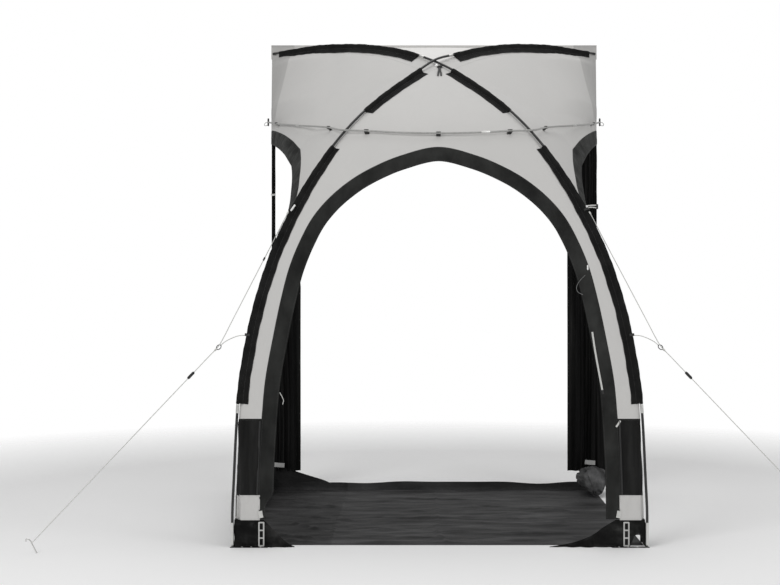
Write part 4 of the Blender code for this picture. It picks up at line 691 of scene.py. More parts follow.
class Finish:
    """A Principled material and the few kinds of nodes that its patterns are made with."""

    def __init__(self, name, roughness, metallic=0.0, sheen=0.0, coat=0.0, specular=None):
        self.made = bpy.data.materials.new(name)
        self.made.use_nodes = True
        self.tree = self.made.node_tree
        self.shader = self.tree.nodes["Principled BSDF"]
        for socket, value in (("Roughness", roughness), ("Metallic", metallic), ("Sheen Weight", sheen),
                              ("Coat Weight", coat), ("Specular IOR Level", specular)):
            if value is not None:
                self.shader.inputs[socket].default_value = value
        where = self.tree.nodes.new("ShaderNodeTexCoord")
        self.place, self.cut = where.outputs["Object"], where.outputs["UV"]

    def node(self, kind, **values):
        """A node with its inputs linked or set by name; its first output is returned."""
        node = self.tree.nodes.new(kind)
        for name, value in values.items():
            socket = node.inputs[name.replace("_", " ")]
            if isinstance(value, Reading):
                self.tree.links.new(value.socket, socket)
            elif hasattr(value, "is_output"):
                self.tree.links.new(value, socket)
            else:
                socket.default_value = value
        return Reading(self.tree, node.outputs[0])

    def noise(self, scale, detail=3.0, stretch=None):
        """Soft noise in the object's own space, perhaps stretched along its axes."""
        at = self.place
        if stretch:
            at = self.node("ShaderNodeMapping", Vector=at, Scale=stretch)
        return self.node("ShaderNodeTexNoise", Vector=at, Scale=scale, Detail=detail, Roughness=0.55)

    def axes(self, where):
        """The three coordinates of a place."""
        node = self.tree.nodes.new("ShaderNodeSeparateXYZ")
        self.tree.links.new(where, node.inputs[0])
        return [Reading(self.tree, s) for s in node.outputs]

    def colour(self, low, high, by, tone=None):
        """Between two colours by a value, and the whole darker or lighter by a tone."""
        node = self.tree.nodes.new("ShaderNodeMix")
        node.data_type = "RGBA"
        node.inputs[6].default_value, node.inputs[7].default_value = (*low, 1), (*high, 1)
        self.tree.links.new(by.socket, node.inputs[0])
        shown = node.outputs[2]
        if tone is not None:
            toned = self.tree.nodes.new("ShaderNodeVectorMath")
            toned.operation = "SCALE"
            self.tree.links.new(shown, toned.inputs[0])
            self.tree.links.new(tone.socket, toned.inputs["Scale"])
            shown = toned.outputs[0]
        self.tree.links.new(shown, self.shader.inputs["Base Color"])
        return self

    def feed(self, socket, value):
        """Links a value to one of the shader's inputs."""
        self.tree.links.new(value.socket, self.shader.inputs[socket])
        return self

    def bump(self, height, distance, strength=1.0):
        """Raises the surface by a height, and gives the finished material."""
        made = self.node("ShaderNodeBump", Strength=strength, Distance=distance, Height=height)
        self.tree.links.new(made.socket, self.shader.inputs["Normal"])
        return self.made


def shade(colour, share):
    """A colour made darker or lighter."""
    return tuple(max(0.0, min(1.0, c * share)) for c in colour)


def woven(name, colour, spread_share, pitch, sheen, rough, crumple, crumple_size, specular=0.35,
          zone=None, streaks=None):
    """Coated plain weave: threads on the cut's own map, uneven coating, soft handling creases; streaks
    paint the shade and highlights of folds into the colour, and a zone scales it by place.
    """
    f = Finish(name, rough, sheen=sheen, specular=specular)
    u, v, _ = f.axes(f.cut)
    threads = (u * (2 * math.pi / pitch)).wave() * (v * (2 * math.pi / pitch)).wave()
    broad, fine = f.noise(2.3, 3.0), f.noise(38.0, 4.0)
    folds = f.node("ShaderNodeTexNoise", Vector=f.place, Scale=crumple_size, Detail=4.0,
                   Roughness=0.5, Distortion=0.9)
    line = ((folds - 0.5).size() * 7.0).kept()
    worn = (broad * 0.6 + fine * 0.25 + threads * 0.05 + line * 0.15).kept()
    tone = zone(*f.axes(f.place)) if zone else None
    # Streaks paint the shade and highlights of folds: stretched noise darkens and lightens the colour.
    if streaks:
        painted_fold_shade = (f.noise(1.0, 4.0, stretch=streaks[:3]) * 2.0) ** streaks[3]
        tone = painted_fold_shade * tone if zone else painted_fold_shade
    f.colour(shade(colour, 1 - spread_share), shade(colour, 1 + spread_share), worn, tone)
    f.feed("Roughness", (broad * 0.18 + (rough - 0.09)).kept())
    return f.bump(threads * 0.00007 * 1000 + line * crumple * 1000 + fine * 0.02, 0.001)


def corner_painted_shade(x, y, z):
    """Painted shade of the fold at the top rear corners: the pale cloth is darkened up to a sharp
    slanting line.
    """
    past = (x.size() + z * 0.19 - 1.319) * 150
    return 1.0 - past.kept() * ((z - 2.15) * 30).kept() * (((y - 0.2) * 4).kept() * 0.20)


def sheet_strip_and_painted_shade(x, y, z):
    """The sheet's left strip is a darker cloth; its upright rear edge, the same cloth turned up against
    the wall, is darkened as painted shade.
    """
    return 1.0 - (x * -130 - 65.6).kept() * 0.36 - ((z - 0.010) * 90).kept() * 0.30


def braided(name, colour, pitch, dark_share):
    """A round braid: two families of strands round the cord."""
    f = Finish(name, 0.8, sheen=0.2)
    x, y, z = f.axes(f.place)
    along = (z + x * 0.4) * (2 * math.pi / pitch)
    over = (along + y * 900).wave() * (along - y * 900).wave()
    worn = (over * 0.5 + 0.5 + f.noise(60) * 0.3 - 0.15).kept()
    f.colour(shade(colour, dark_share), colour, worn)
    return f.bump(over, 0.0004)


def ribbed(name, colour, pitch, spread_share=0.35):
    """Woven tape: ribs across it."""
    f = Finish(name, 0.78, sheen=0.15)
    u, v, _ = f.axes(f.cut)
    cross = (u * (2 * math.pi / (pitch * 1.6))).wave() * 0.35 + 0.75
    ribs = (v * (2 * math.pi / pitch)).wave() * cross
    worn = (ribs * 0.4 + 0.4 + f.noise(25) * 0.3).kept()
    f.colour(shade(colour, 1 - spread_share), shade(colour, 1 + spread_share), worn)
    return f.bump(ribs, 0.00035)


def fibreglass(name, colour, gloss):
    """Wound glass rod: faint lengthwise streaks and handling marks."""
    f = Finish(name, gloss, coat=0.25)
    streaks, marks = f.noise(90, 2.0, stretch=(1, 1, 0.06)), f.noise(14, 5.0)
    f.colour(shade(colour, 0.75), shade(colour, 1.5), (streaks * 0.7 + marks * 0.3).kept())
    f.feed("Roughness", (marks * 0.22 + (gloss - 0.08)).kept())
    return f.bump(streaks * 0.6 + marks * 0.3, 0.0003, 0.5)


def metal(name, colour, rough, stretch):
    """Drawn or plated steel with fine lines along it."""
    f = Finish(name, rough, metallic=1.0)
    lines, spots = f.noise(500, 2.0, stretch=stretch), f.noise(30, 4.0)
    f.colour(shade(colour, 0.82), shade(colour, 1.1), (lines * 0.5 + spots * 0.5).kept())
    f.feed("Roughness", (spots * 0.2 + (rough - 0.08)).kept())
    return f.bump(lines, 0.0001, 0.5)


def moulded(name, colour, rough, grain=420):
    """Injection-moulded plastic with a fine grain."""
    f = Finish(name, rough)
    fine, broad = f.noise(grain, 2.0), f.noise(20, 3.0)
    f.colour(shade(colour, 0.8), shade(colour, 1.35), (broad * 0.8 + fine * 0.2).kept())
    f.feed("Roughness", (broad * 0.2 + (rough - 0.1)).kept())
    return f.bump(fine, 0.0001)


# Settings
class AwningSettings(bpy.types.PropertyGroup):
    """Colours and sizes of the awning's dressing."""

    pale: FloatVectorProperty(name="Pale cloth", description="Colour of the roof, front and side cloth",
                              default=(0.575, 0.568, 0.555), subtype="COLOR", min=0, max=1)
    dark: FloatVectorProperty(name="Band cloth", description="Colour of the doorway's and arches' bands",
                              default=(0.0200, 0.0205, 0.0195), subtype="COLOR", min=0, max=1)
    black: FloatVectorProperty(name="Black cloth",
                               description="Colour of the legs, mud flaps and hanging flaps",
                               default=(0.0105, 0.0105, 0.0102), subtype="COLOR", min=0, max=1)
    sheet: FloatVectorProperty(name="Groundsheet", description="Colour of the groundsheet",
                               default=(0.034, 0.034, 0.0345), subtype="COLOR", min=0, max=1)
    fold_depth: FloatProperty(name="Fold depth", description="Height of the soft folds in the taut cloth",
                              default=0.0022, min=0, max=0.01, unit="LENGTH")
    weave: FloatProperty(name="Weave pitch", description="Distance between threads of the coated cloth",
                         default=0.0012, min=0.0003, max=0.005, unit="LENGTH")
    stitch: FloatProperty(name="Stitch pitch", description="Distance between stitches along a seam",
                          default=0.0075, min=0.002, max=0.03, unit="LENGTH")
    floor: FloatVectorProperty(name="Floor", description="Colour of the studio floor",
                               default=(0.96, 0.96, 0.96), subtype="COLOR", min=0, max=1)
    key_power: FloatProperty(name="Key light", description="Power of the large front light",
                             default=142.0, min=0, max=2000, unit="POWER")
    seed: IntProperty(name="Fold seed", description="Which set of uneven folds is used", default=7, min=0)


def build_finishes(s):
    """Makes every finish, by the name that the pieces use."""
    pale, dark, black, sheet = (tuple(c) for c in (s.pale, s.dark, s.black, s.sheet))
    # Every finish given streaks has the shade and highlights of its folds painted into its colour.
    FINISHES.update(
        # The pale cloth's zone paints shade at the top rear corners of the side cloths.
        pale=woven("pale_cloth_finish", pale, 0.035, s.weave, 0.08, 0.78, 0.0002, 3.2, zone=corner_painted_shade),
        dark=woven("band_cloth_finish", dark, 0.22, s.weave, 0.0, 0.80, 0.0004, 5.0, 0.16,
                   streaks=(9, 9, 5, 1.3)),
        arch=woven("arch_band_finish", shade(dark, 1.5), 0.45, s.weave, 0.0, 0.72, 0.0008, 11.0, 0.20,
                   streaks=(9, 9, 14, 1.8)),
        black=woven("black_cloth_finish", black, 0.30, s.weave, 0.0, 0.72, 0.0006, 6.0, 0.16,
                    streaks=(24, 24, 2.4, 2.0)),
        # The curtains are the black cloth darkened as painted shade, where they hang inside the awning.
        curtain=woven("curtain_painted_shade_finish", shade(black, 0.35), 0.40, s.weave, 0.0, 0.75, 0.0006, 8.0, 0.14,
                      streaks=(24, 24, 0.9, 4.5)),
        # The groundsheet's zone keeps its left strip darker and paints shade on its upright rear edge.
        sheet=woven("groundsheet_finish", shade(sheet, 1.1), 0.34, s.weave * 1.6, 0.0, 0.60, 0.0016, 5.5,
                    0.24, sheet_strip_and_painted_shade, (2.6, 11, 6, 2.4)),
        bundle=woven("gathered_cloth_finish", shade(sheet, 2.0), 0.25, s.weave * 1.4, 0.0, 0.7, 0.0006,
                     9.0, 0.2, streaks=(14, 7, 14, 2.0)),
        sleeve=woven("sleeve_cloth_finish", shade(black, 0.75), 0.22, s.weave, 0.0, 0.78, 0.0003, 14.0,
                     0.14, streaks=(16, 16, 16, 1.4)),
        # The roof's finish is the pale cloth made lighter: painted light on the roof, which faces up into
        # the light.
        roof=woven("roof_cloth_painted_light_finish", shade(pale, 1.33), 0.03, s.weave, 0.05, 0.78, 0.0002, 3.2),
        pole=fibreglass("black_rod_finish", (0.011, 0.011, 0.011), 0.34),
        brow=fibreglass("grey_rod_finish", (0.30, 0.30, 0.29), 0.34),
        steel=metal("bright_steel_finish", (0.74, 0.74, 0.72), 0.30, (1, 1, 0.04)),
        ring=metal("dark_ring_finish", (0.12, 0.12, 0.125), 0.42, (1, 1, 1)),
        plastic=moulded("black_plastic_finish", (0.012, 0.012, 0.012), 0.46),
        ladder=moulded("pale_plastic_finish", (0.46, 0.46, 0.45), 0.5, 300),
        cord=braided("pale_cord_finish", (0.70, 0.70, 0.67), 0.006, 0.72),
        grey_cord=braided("grey_cord_finish", (0.20, 0.20, 0.20), 0.004, 0.6),
        webbing=ribbed("black_webbing_finish", (0.020, 0.020, 0.020), 0.0022),
        tape=ribbed("pale_tape_finish", (0.62, 0.62, 0.60), 0.0022, 0.1),
        thread=braided("dark_thread_finish", (0.06, 0.06, 0.06), 0.003, 0.6),
        pale_thread=braided("pale_thread_finish", (0.52, 0.52, 0.50), 0.003, 0.75),
        patch=woven("patch_cloth_finish", shade(pale, 0.98), 0.06, s.weave, 0.0, 0.72, 0.0004, 16.0),
        # The skirt's strong streaks paint bright highlights along its folds.
        skirt=woven("skirt_cloth_finish", shade(black, 0.30), 0.35, s.weave, 0.0, 0.36, 0.0011, 9.0, 0.14,
                    streaks=(11, 11, 16, 6.0)),
        strap=moulded("foot_strap_finish", (0.018, 0.018, 0.018), 0.75, 260),
        white=moulded("white_plastic_finish", (0.76, 0.76, 0.74), 0.4, 300),
        silver=ribbed("silver_tape_finish", (0.34, 0.34, 0.335), 0.0026, 0.2),
        zip=ribbed("zip_tape_finish", (0.045, 0.045, 0.045), 0.0024, 0.25),
    )


# The sewn skin
def between(edge, ridge, shares):
    """Flat points from an opening's edge to the ridge, row by row."""
    a, b = np.array(edge, float)[:, None, :], np.array(ridge, float)[:, None, :]
    return a + (b - a) * np.asarray(shares)[None, :, None]


def build_front(s):
    """The front cloth between the doorway's edge and the arch poles."""
    count, wide = 130, 36
    edge = spread(offset_line(DOOR_UPPER, -GAP, DOOR_MIDDLE), count)
    edge[0, 0] = 0.0
    heights = np.linspace(float(ridge_height(0.5 - APEX_STOP)), LEG_TOP, 400)
    ridge = np.stack([HALF_WIDTH * (1 - 2 * ridge_share(heights)), heights], axis=1)
    ridge = spread(np.concatenate([[[0, heights[0]]], ridge]), count)
    flat = between(edge, ridge, np.linspace(0, 1, wide))
    flat[0, :, 0] = 0.0
    flat[..., 1] = np.maximum(flat[..., 1], LEG_TOP)
    right = on_front(flat[..., 0], flat[..., 1])
    left = on_front(-flat[..., 0], flat[..., 1])[::-1]
    grid = np.concatenate([left[:-1], right])
    d = s.fold_depth
    relief = 0.30 * d * drift(grid, (0.55, 0.5, 0.75), s.seed)
    relief += 0.10 * d * drift(grid, (0.16, 0.2, 0.3), s.seed + 1)
    for x, z in ((-0.455, 1.974), (0.0, 1.939), (0.455, 1.974), (-0.24, 1.955), (0.24, 1.955)):
        relief += tug(grid, on_front(x, z), 0.5 * d, 0.22, 5, x)
    for a, b, depth in (
        ((-0.33, 1.93), (-0.02, 1.885), 0.55), ((0.31, 1.93), (0.05, 1.89), 0.45),
        ((-0.40, 1.90), (-0.52, 1.70), 0.35), ((0.42, 1.90), (0.55, 1.68), 0.40),
        ((0.02, 2.33), (0.03, 2.10), 0.70), ((-0.02, 2.33), (-0.09, 2.12), 0.55),
        ((0.03, 2.33), (0.16, 2.14), 0.45), ((-0.03, 2.32), (-0.17, 2.17), 0.40),
        ((-0.66, 1.60), (-0.58, 1.36), 0.35), ((0.68, 1.60), (0.62, 1.30), 0.35),
        ((-0.80, 1.05), (-0.81, 0.70), 0.35), ((0.82, 1.05), (0.835, 0.72), 0.35),
        ((-0.86, 0.62), (-0.84, 0.80), -0.45), ((0.86, 0.62), (0.85, 0.82), -0.40),
    ):
        relief += crease(grid, on_front(*a), on_front(*b), depth * d, 0.010)
    relief *= hem_fade(relief.shape, (6, 6), (5, 5))
    cloth("front_cloth", grid, (0, -1, 0.3), "pale", relief, replaces="front_panel")


def build_sides(s):
    """The two side cloths, with the cloth folded over at their top rear corners."""
    count, wide = 220, 34
    edge = spread(offset_line(ARCH_UPPER, -GAP, ARCH_MIDDLE), count)
    rear = np.linspace(1.0, 0.5 + APEX_STOP, 120)
    path = np.stack([FRONT_Y + DEPTH * rear, ridge_height(rear)], axis=1)
    heights = np.linspace(float(ridge_height(0.5 - APEX_STOP)), LEG_TOP, 300)
    down = np.stack([FRONT_Y + DEPTH * ridge_share(heights), heights], axis=1)
    ridge = spread(np.concatenate([path, down]), count)
    flat = between(edge, ridge, np.linspace(0, 1, wide))
    flat[..., 0] = np.minimum(flat[..., 0], CLOTH_REAR_Y)
    flat[..., 1] = np.maximum(flat[..., 1], LEG_TOP)
    d = s.fold_depth
    for name, side in SIDES.items():
        grid = on_side(side, flat[..., 0], flat[..., 1])
        relief = 0.35 * d * drift(grid, (0.5, 0.6, 0.7), s.seed + 5 + side)
        relief += 0.12 * d * drift(grid, (0.2, 0.16, 0.3), s.seed + 8 + side)
        wall = REAR_Y - grid[..., 1]
        high = np.clip((grid[..., 2] - 2.08) / 0.12, 0, 1)
        pleats = np.cos(2 * math.pi * (wall / 0.042 + 0.4 * np.sin(grid[..., 2] * 5)))
        relief += 1.5 * d * pleats * high * np.exp(-((wall / 0.13) ** 2))
        x, z = np.abs(grid[..., 0]), grid[..., 2]
        fold_x = np.interp(z, *CORNER_FOLD)
        out = np.where(x > fold_x, (HALF_WIDTH - x) / (HALF_WIDTH - fold_x), 1 - (fold_x - x) / 0.30)
        rise, end = np.clip((z - 2.13) / 0.10, 0, 1), np.clip((2.56 - z) / 0.05, 0, 1)
        relief += CORNER_FOLD_DEPTH * np.clip(out, 0, 1) * rise * end
        for y, z in ((-0.12, 2.018), (0.52, 2.107)):
            relief += tug(grid, on_side(side, y, z), 0.5 * d, 0.2, 5, y)
        for a, b, depth in (
            ((0.86, 2.50), (0.80, 2.22), 0.8), ((0.75, 2.50), (0.84, 2.16), 0.6),
            ((0.55, 2.48), (0.80, 2.16), 0.5), ((-0.40, 1.90), (-0.62, 1.62), 0.4),
            ((-0.74, 1.20), (-0.80, 0.80), 0.4), ((0.2, 2.35), (0.5, 2.15), 0.4),
        ):
            relief += crease(grid, on_side(side, *a), on_side(side, *b), depth * d, 0.012)
        relief *= hem_fade(relief.shape, (3, 6), (5, 5))
        cloth(f"{name}_side_cloth", grid, (side, 0, 0.3), "pale", relief,
              replaces=f"{name}_side_panel")


def build_roof(s):
    """The roof between the crossing and the rail, with pleats at the rail."""
    shares = np.linspace(0.5 + APEX_STOP, 1.0, 110)
    y = np.minimum(FRONT_Y + DEPTH * shares, CLOTH_REAR_Y)
    half = HALF_WIDTH * (2 * shares - 1)
    across = np.linspace(-1, 1, 120)
    x = half[:, None] * across[None, :]
    grid = np.stack(np.broadcast_arrays(x, y[:, None], ridge_height(shares)[:, None]), axis=2)
    d = s.fold_depth
    relief = 0.45 * d * drift(grid, (0.45, 0.6, 0.5), s.seed + 20)
    rail = REAR_Y - grid[..., 1]
    for x0, x1, depth in ((-0.10, -0.06, 1.2), (-0.02, 0.01, 1.5), (0.05, 0.07, 1.3), (0.12, 0.15, 1.4),
                          (0.20, 0.21, 1.1), (0.27, 0.25, 0.8), (-0.24, -0.16, 0.7), (-0.62, -0.5, 0.7),
                          (0.62, 0.5, 0.8), (0.45, 0.40, 0.6), (-0.42, -0.36, 0.5)):
        top, low = (x0, REAR_Y - 0.02, ridge_height(0.99)), (x1, MID_Y + 0.22, ridge_height(0.62))
        relief += crease(grid, top, low, depth * d, 0.016)
    pleats = np.sin(grid[..., 0] * 2 * math.pi / 0.083 + 1.7 * np.sin(grid[..., 0] * 9))
    relief += 0.9 * d * pleats * np.exp(-rail / 0.06)
    relief *= hem_fade(relief.shape, (6, 4), (6, 6))
    # Its finish is the pale cloth made lighter as painted light.
    cloth("roof_cloth", grid, (0, 0, 1), "roof", relief, replaces="roof_panel")


def band_relief(grid, s, seed):
    """Soft diagonal creases of a band sewn round a curve."""
    step = np.linalg.norm(np.diff(grid[:, 0], axis=0), axis=1)
    run = np.concatenate([[0], np.cumsum(step)])[:, None]
    across = np.linspace(0, 1, grid.shape[1])[None, :]
    wander = drift(grid, (0.25, 0.25, 0.25), seed)
    waves = np.sin(2 * math.pi * (run / 0.105 + 0.55 * across) + 2.2 * wander)
    short = np.sin(2 * math.pi * (run / 0.043 - 0.8 * across) + 3.0 * wander)
    strength = np.clip(0.6 + 0.5 * drift(grid, (0.4, 0.4, 0.4), seed + 1), 0.15, 1.3)
    hems = hem_fade(grid.shape, (4, 4), (3, 3))
    return s.fold_depth * strength * (1.05 * waves + 0.45 * short) * hems


def build_bands(s):
    """The bands sewn round the doorway and the side arches."""
    def strip(line, width, middle):
        """Flat points of a band as wide as width, and a lap over the cloth beside it."""
        edges = [spread(offset_line(line, distance, middle), 260) for distance in (-0.004, width)]
        return between(*edges, np.linspace(0, 1, 16))

    flat = strip(DOOR_LINE, DOOR_BAND, DOOR_MIDDLE)
    flat[0, :, 0] = 0.0
    narrow = np.clip((0.262 - flat[:, -1:, 1:]) / 0.085, 0, 1)
    left = flat[:, :1] + (flat - flat[:, :1]) * (1 - 0.56 * narrow * narrow * (3 - 2 * narrow))
    left = on_front(-left[..., 0], left[..., 1])[::-1]
    grid = np.concatenate([left[:-1], on_front(flat[..., 0], flat[..., 1])])
    relief = band_relief(grid, s, s.seed + 30)
    cloth("doorway_band", grid, (0, -1, 0.3), "dark", relief, BAND_LIFT, replaces="door_trim")
    flat = strip(ARCH_LINE, ARCH_BAND, ARCH_MIDDLE)
    flat[..., 0] = np.minimum(flat[..., 0], CLOTH_REAR_Y)
    for name, side in SIDES.items():
        grid = on_side(side, flat[..., 0], flat[..., 1])
        relief = band_relief(grid, s, s.seed + 40 + side)
        cloth(f"{name}_arch_band", grid, (side, 0, 0.3), "arch", relief, BAND_LIFT,
              replaces=f"{name}_arch_trim")


def leg_grid(side, heights, front_count, side_count, lap=0.0012):
    """Cloth round a front corner, from the doorway's band to the side arch's band."""
    door = offset_line(DOOR_LINE, -lap, DOOR_MIDDLE)
    arch = offset_line(ARCH_LINE, -lap, ARCH_MIDDLE)
    z = np.asarray(heights, float)[:, None]
    share = ridge_share(z)
    corner_x, corner_y = HALF_WIDTH * (1 - 2 * share), FRONT_Y + DEPTH * share
    lean = LEG_LEAN[side] * np.clip((LEG_TOP - z) / 0.40, 0, 1)
    door_x, arch_y = leg_at(door, z), leg_at(arch, z)
    a = np.linspace(0, 1, front_count)[None, :]
    b = np.linspace(0, 1, side_count)[None, 1:]
    front = on_front(side * (door_x + (corner_x - lean - door_x) * a), z)
    wrapped = on_side(side, corner_y + (arch_y - corner_y) * b, z)
    wrapped[..., 0] -= side * lean * np.clip(1 - b, 0, 1)
    return np.concatenate([front, wrapped], axis=1)


def build_legs(s):
    """The legs' cloth at the front corners, with the patches and skirts below it."""
    d = s.fold_depth
    for name, side in SIDES.items():
        seed = s.seed + 50 + side
        grid = leg_grid(side, np.linspace(PATCH_TOP - 0.002, LEG_TOP + 0.004, 60), 22, 26)
        relief = 1.8 * d * drift(grid, (0.05, 0.06, 0.6), seed)
        relief += 1.1 * d * drift(grid, (0.10, 0.10, 0.20), seed + 1)
        relief *= hem_fade(relief.shape, (4, 4), (4, 4))
        cloth(f"{name}_leg_cloth", grid, (side, -1, 0), "black", relief, 0.0006,
              replaces=f"{name}_leg_panel")
        grid = leg_grid(side, np.linspace(MUD_TOP - 0.002, PATCH_TOP + 0.003, 26), 22, 26, -0.004)
        relief = 0.9 * d * drift(grid, (0.035, 0.04, 0.4), seed + 2)
        relief *= hem_fade(relief.shape, (3, 3), (3, 3))
        cloth(f"{name}_leg_patch_cloth", grid, (side, -1, 0), "patch", relief, 0.0013,
              replaces=f"{name}_leg_patch")
        build_mud_flap(name, side, s)


def build_mud_flap(name, side, s):
    """The skirt at the ground: a wing under the doorway, round the corner and along the side."""
    foot = float(ridge_share(0))
    corner_y, corner_x = FRONT_Y + DEPTH * foot, HALF_WIDTH * (1 - 2 * foot)
    wing = spread(rounded_curve(SKIRT_WINGS[side], 12), 50)
    rest = np.linspace(SKIRT_TURN, corner_x / HALF_WIDTH, 24)[1:]
    rest = np.stack([rest, np.ones_like(rest)], axis=1)
    lead = np.concatenate([wing, rest])
    levels = np.linspace(0, 1, 15)[:, None]
    x = HALF_WIDTH * lead[None, :, 0]
    high = MUD_TOP * np.minimum(lead[None, :, 1], 1.0)
    hem = 0.058 * np.exp(-(((x - 0.918) / 0.026) ** 4)) if side > 0 else 0.0
    front = on_front(side * x, hem + (high - hem) * levels)
    end = CLOTH_REAR_Y if side < 0 else corner_y + 0.08 * (CLOTH_REAR_Y - corner_y)
    y = np.linspace(corner_y, end, 90 if side < 0 else 18)[None, 1:]
    wrapped = on_side(side, y, MUD_TOP * levels)
    grid = np.concatenate([front, wrapped], axis=1)
    seed, d = s.seed + 60 + side, s.fold_depth
    relief = 2.2 * d * np.abs(drift(grid, (0.10, 0.11, 0.13), seed))
    relief += 1.3 * d * drift(grid, (0.05, 0.06, 0.07), seed + 1)
    relief = relief * (0.3 + (1 - levels) ** 0.5)
    for a, b, depth in (((0.945, -0.90, 0.118), (0.895, -0.90, 0.020), 0.011),
                        ((0.925, -0.90, 0.120), (0.850, -0.89, 0.050), 0.007),
                        ((0.890, -0.89, 0.100), (0.700, -0.84, 0.010), 0.007),
                        ((0.940, -0.90, 0.030), (0.820, -0.88, 0.012), 0.006)):
        relief += crease(grid * (side, 1, 1), a, b, depth, 0.011)
    relief *= hem_fade(relief.shape, (0, 3), (3, 3))
    at = LADDER_SHARES[name] * HALF_WIDTH
    near = np.exp(-(((np.abs(grid[..., 0]) - at) / 0.026) ** 4)) * (grid[..., 1] < -0.8)
    relief = relief * (1 - near) - 0.001 * near
    cloth(f"{name}_skirt", grid, (side, -1, 0), "skirt", relief, 0.0004,
          replaces=f"{name}_mud_flap", thickness=0.0009)


def build_wall_flaps(s):
    """Curtains that hang in folds inside the side arches, along the wall."""
    slope = 0.466 * ARCH_HEIGHT, 0.590 * ARCH_HEIGHT
    z = np.linspace(CURTAIN_HEM, 0.8094 * ARCH_HEIGHT, 90)[:, None]
    share = np.linspace(0, 1, 84)[None, :]
    for name, side in SIDES.items():
        outer = abs(on_side(side, REAR_Y - CURTAIN_INSET, z)[..., 0]) - CURTAIN_GAP
        narrow = np.clip((z - slope[0]) / (slope[1] - slope[0]), 0, 1) if side < 0 else 0 * z
        narrow = narrow * narrow * (3 - 2 * narrow)
        width = CURTAIN_WIDTH + (CURTAIN_TIED - CURTAIN_WIDTH) * narrow
        seed = s.seed + 70 + side
        spots = np.stack(np.broadcast_arrays(share * 0.3, 0 * z, z), axis=2)
        sway = drift(spots, (0.4, 0.4, 1.2), seed)
        sharp = np.sin(2 * math.pi * 6.5 * (1 - share) ** 1.7 + 1.3 * sway)
        broad = np.sin(2 * math.pi * 2.1 * share + 0.9 * sway + seed)
        fold = (0.55 * sharp + 0.45 * broad) * np.minimum(1, 4 * share)
        fold = fold * (0.0110 + 0.002 * sway) * width / CURTAIN_WIDTH
        lower = np.exp(-(z - CURTAIN_HEM) / 0.4)
        x = outer - width * (share + 0.03 * np.sin(9 * share + 2 * z) * share * (1 - share) * 2)
        y = REAR_Y - 0.026 + fold + 0.002 * lower * np.sin(14 * share)
        grid = np.stack(np.broadcast_arrays(side * x, y, z), axis=2)
        if side > 0:
            t = np.linspace(1, 0.02, 24)[None, :]
            reach = np.interp(z, *CURTAIN_WING)
            wave = 1 + np.sin(2.6 * math.pi * t + sway[:, :1])
            y = REAR_Y - 0.028 - 0.007 * wave * np.minimum(1, 20 * reach)
            wing = np.stack(np.broadcast_arrays(outer + reach * t, y, z), axis=2)
            grid = np.concatenate([wing, grid], axis=1)
        relief = 0.35 * s.fold_depth * drift(grid, (0.05, 0.05, 0.18), seed + 1)
        relief *= hem_fade(relief.shape, (3, 3), (3, 3))
        # Their finish is the black cloth darkened as painted shade.
        cloth(f"{name}_wall_curtain", grid, (0, -1, 0), "curtain", relief,
              replaces=f"{name}_wall_flap")


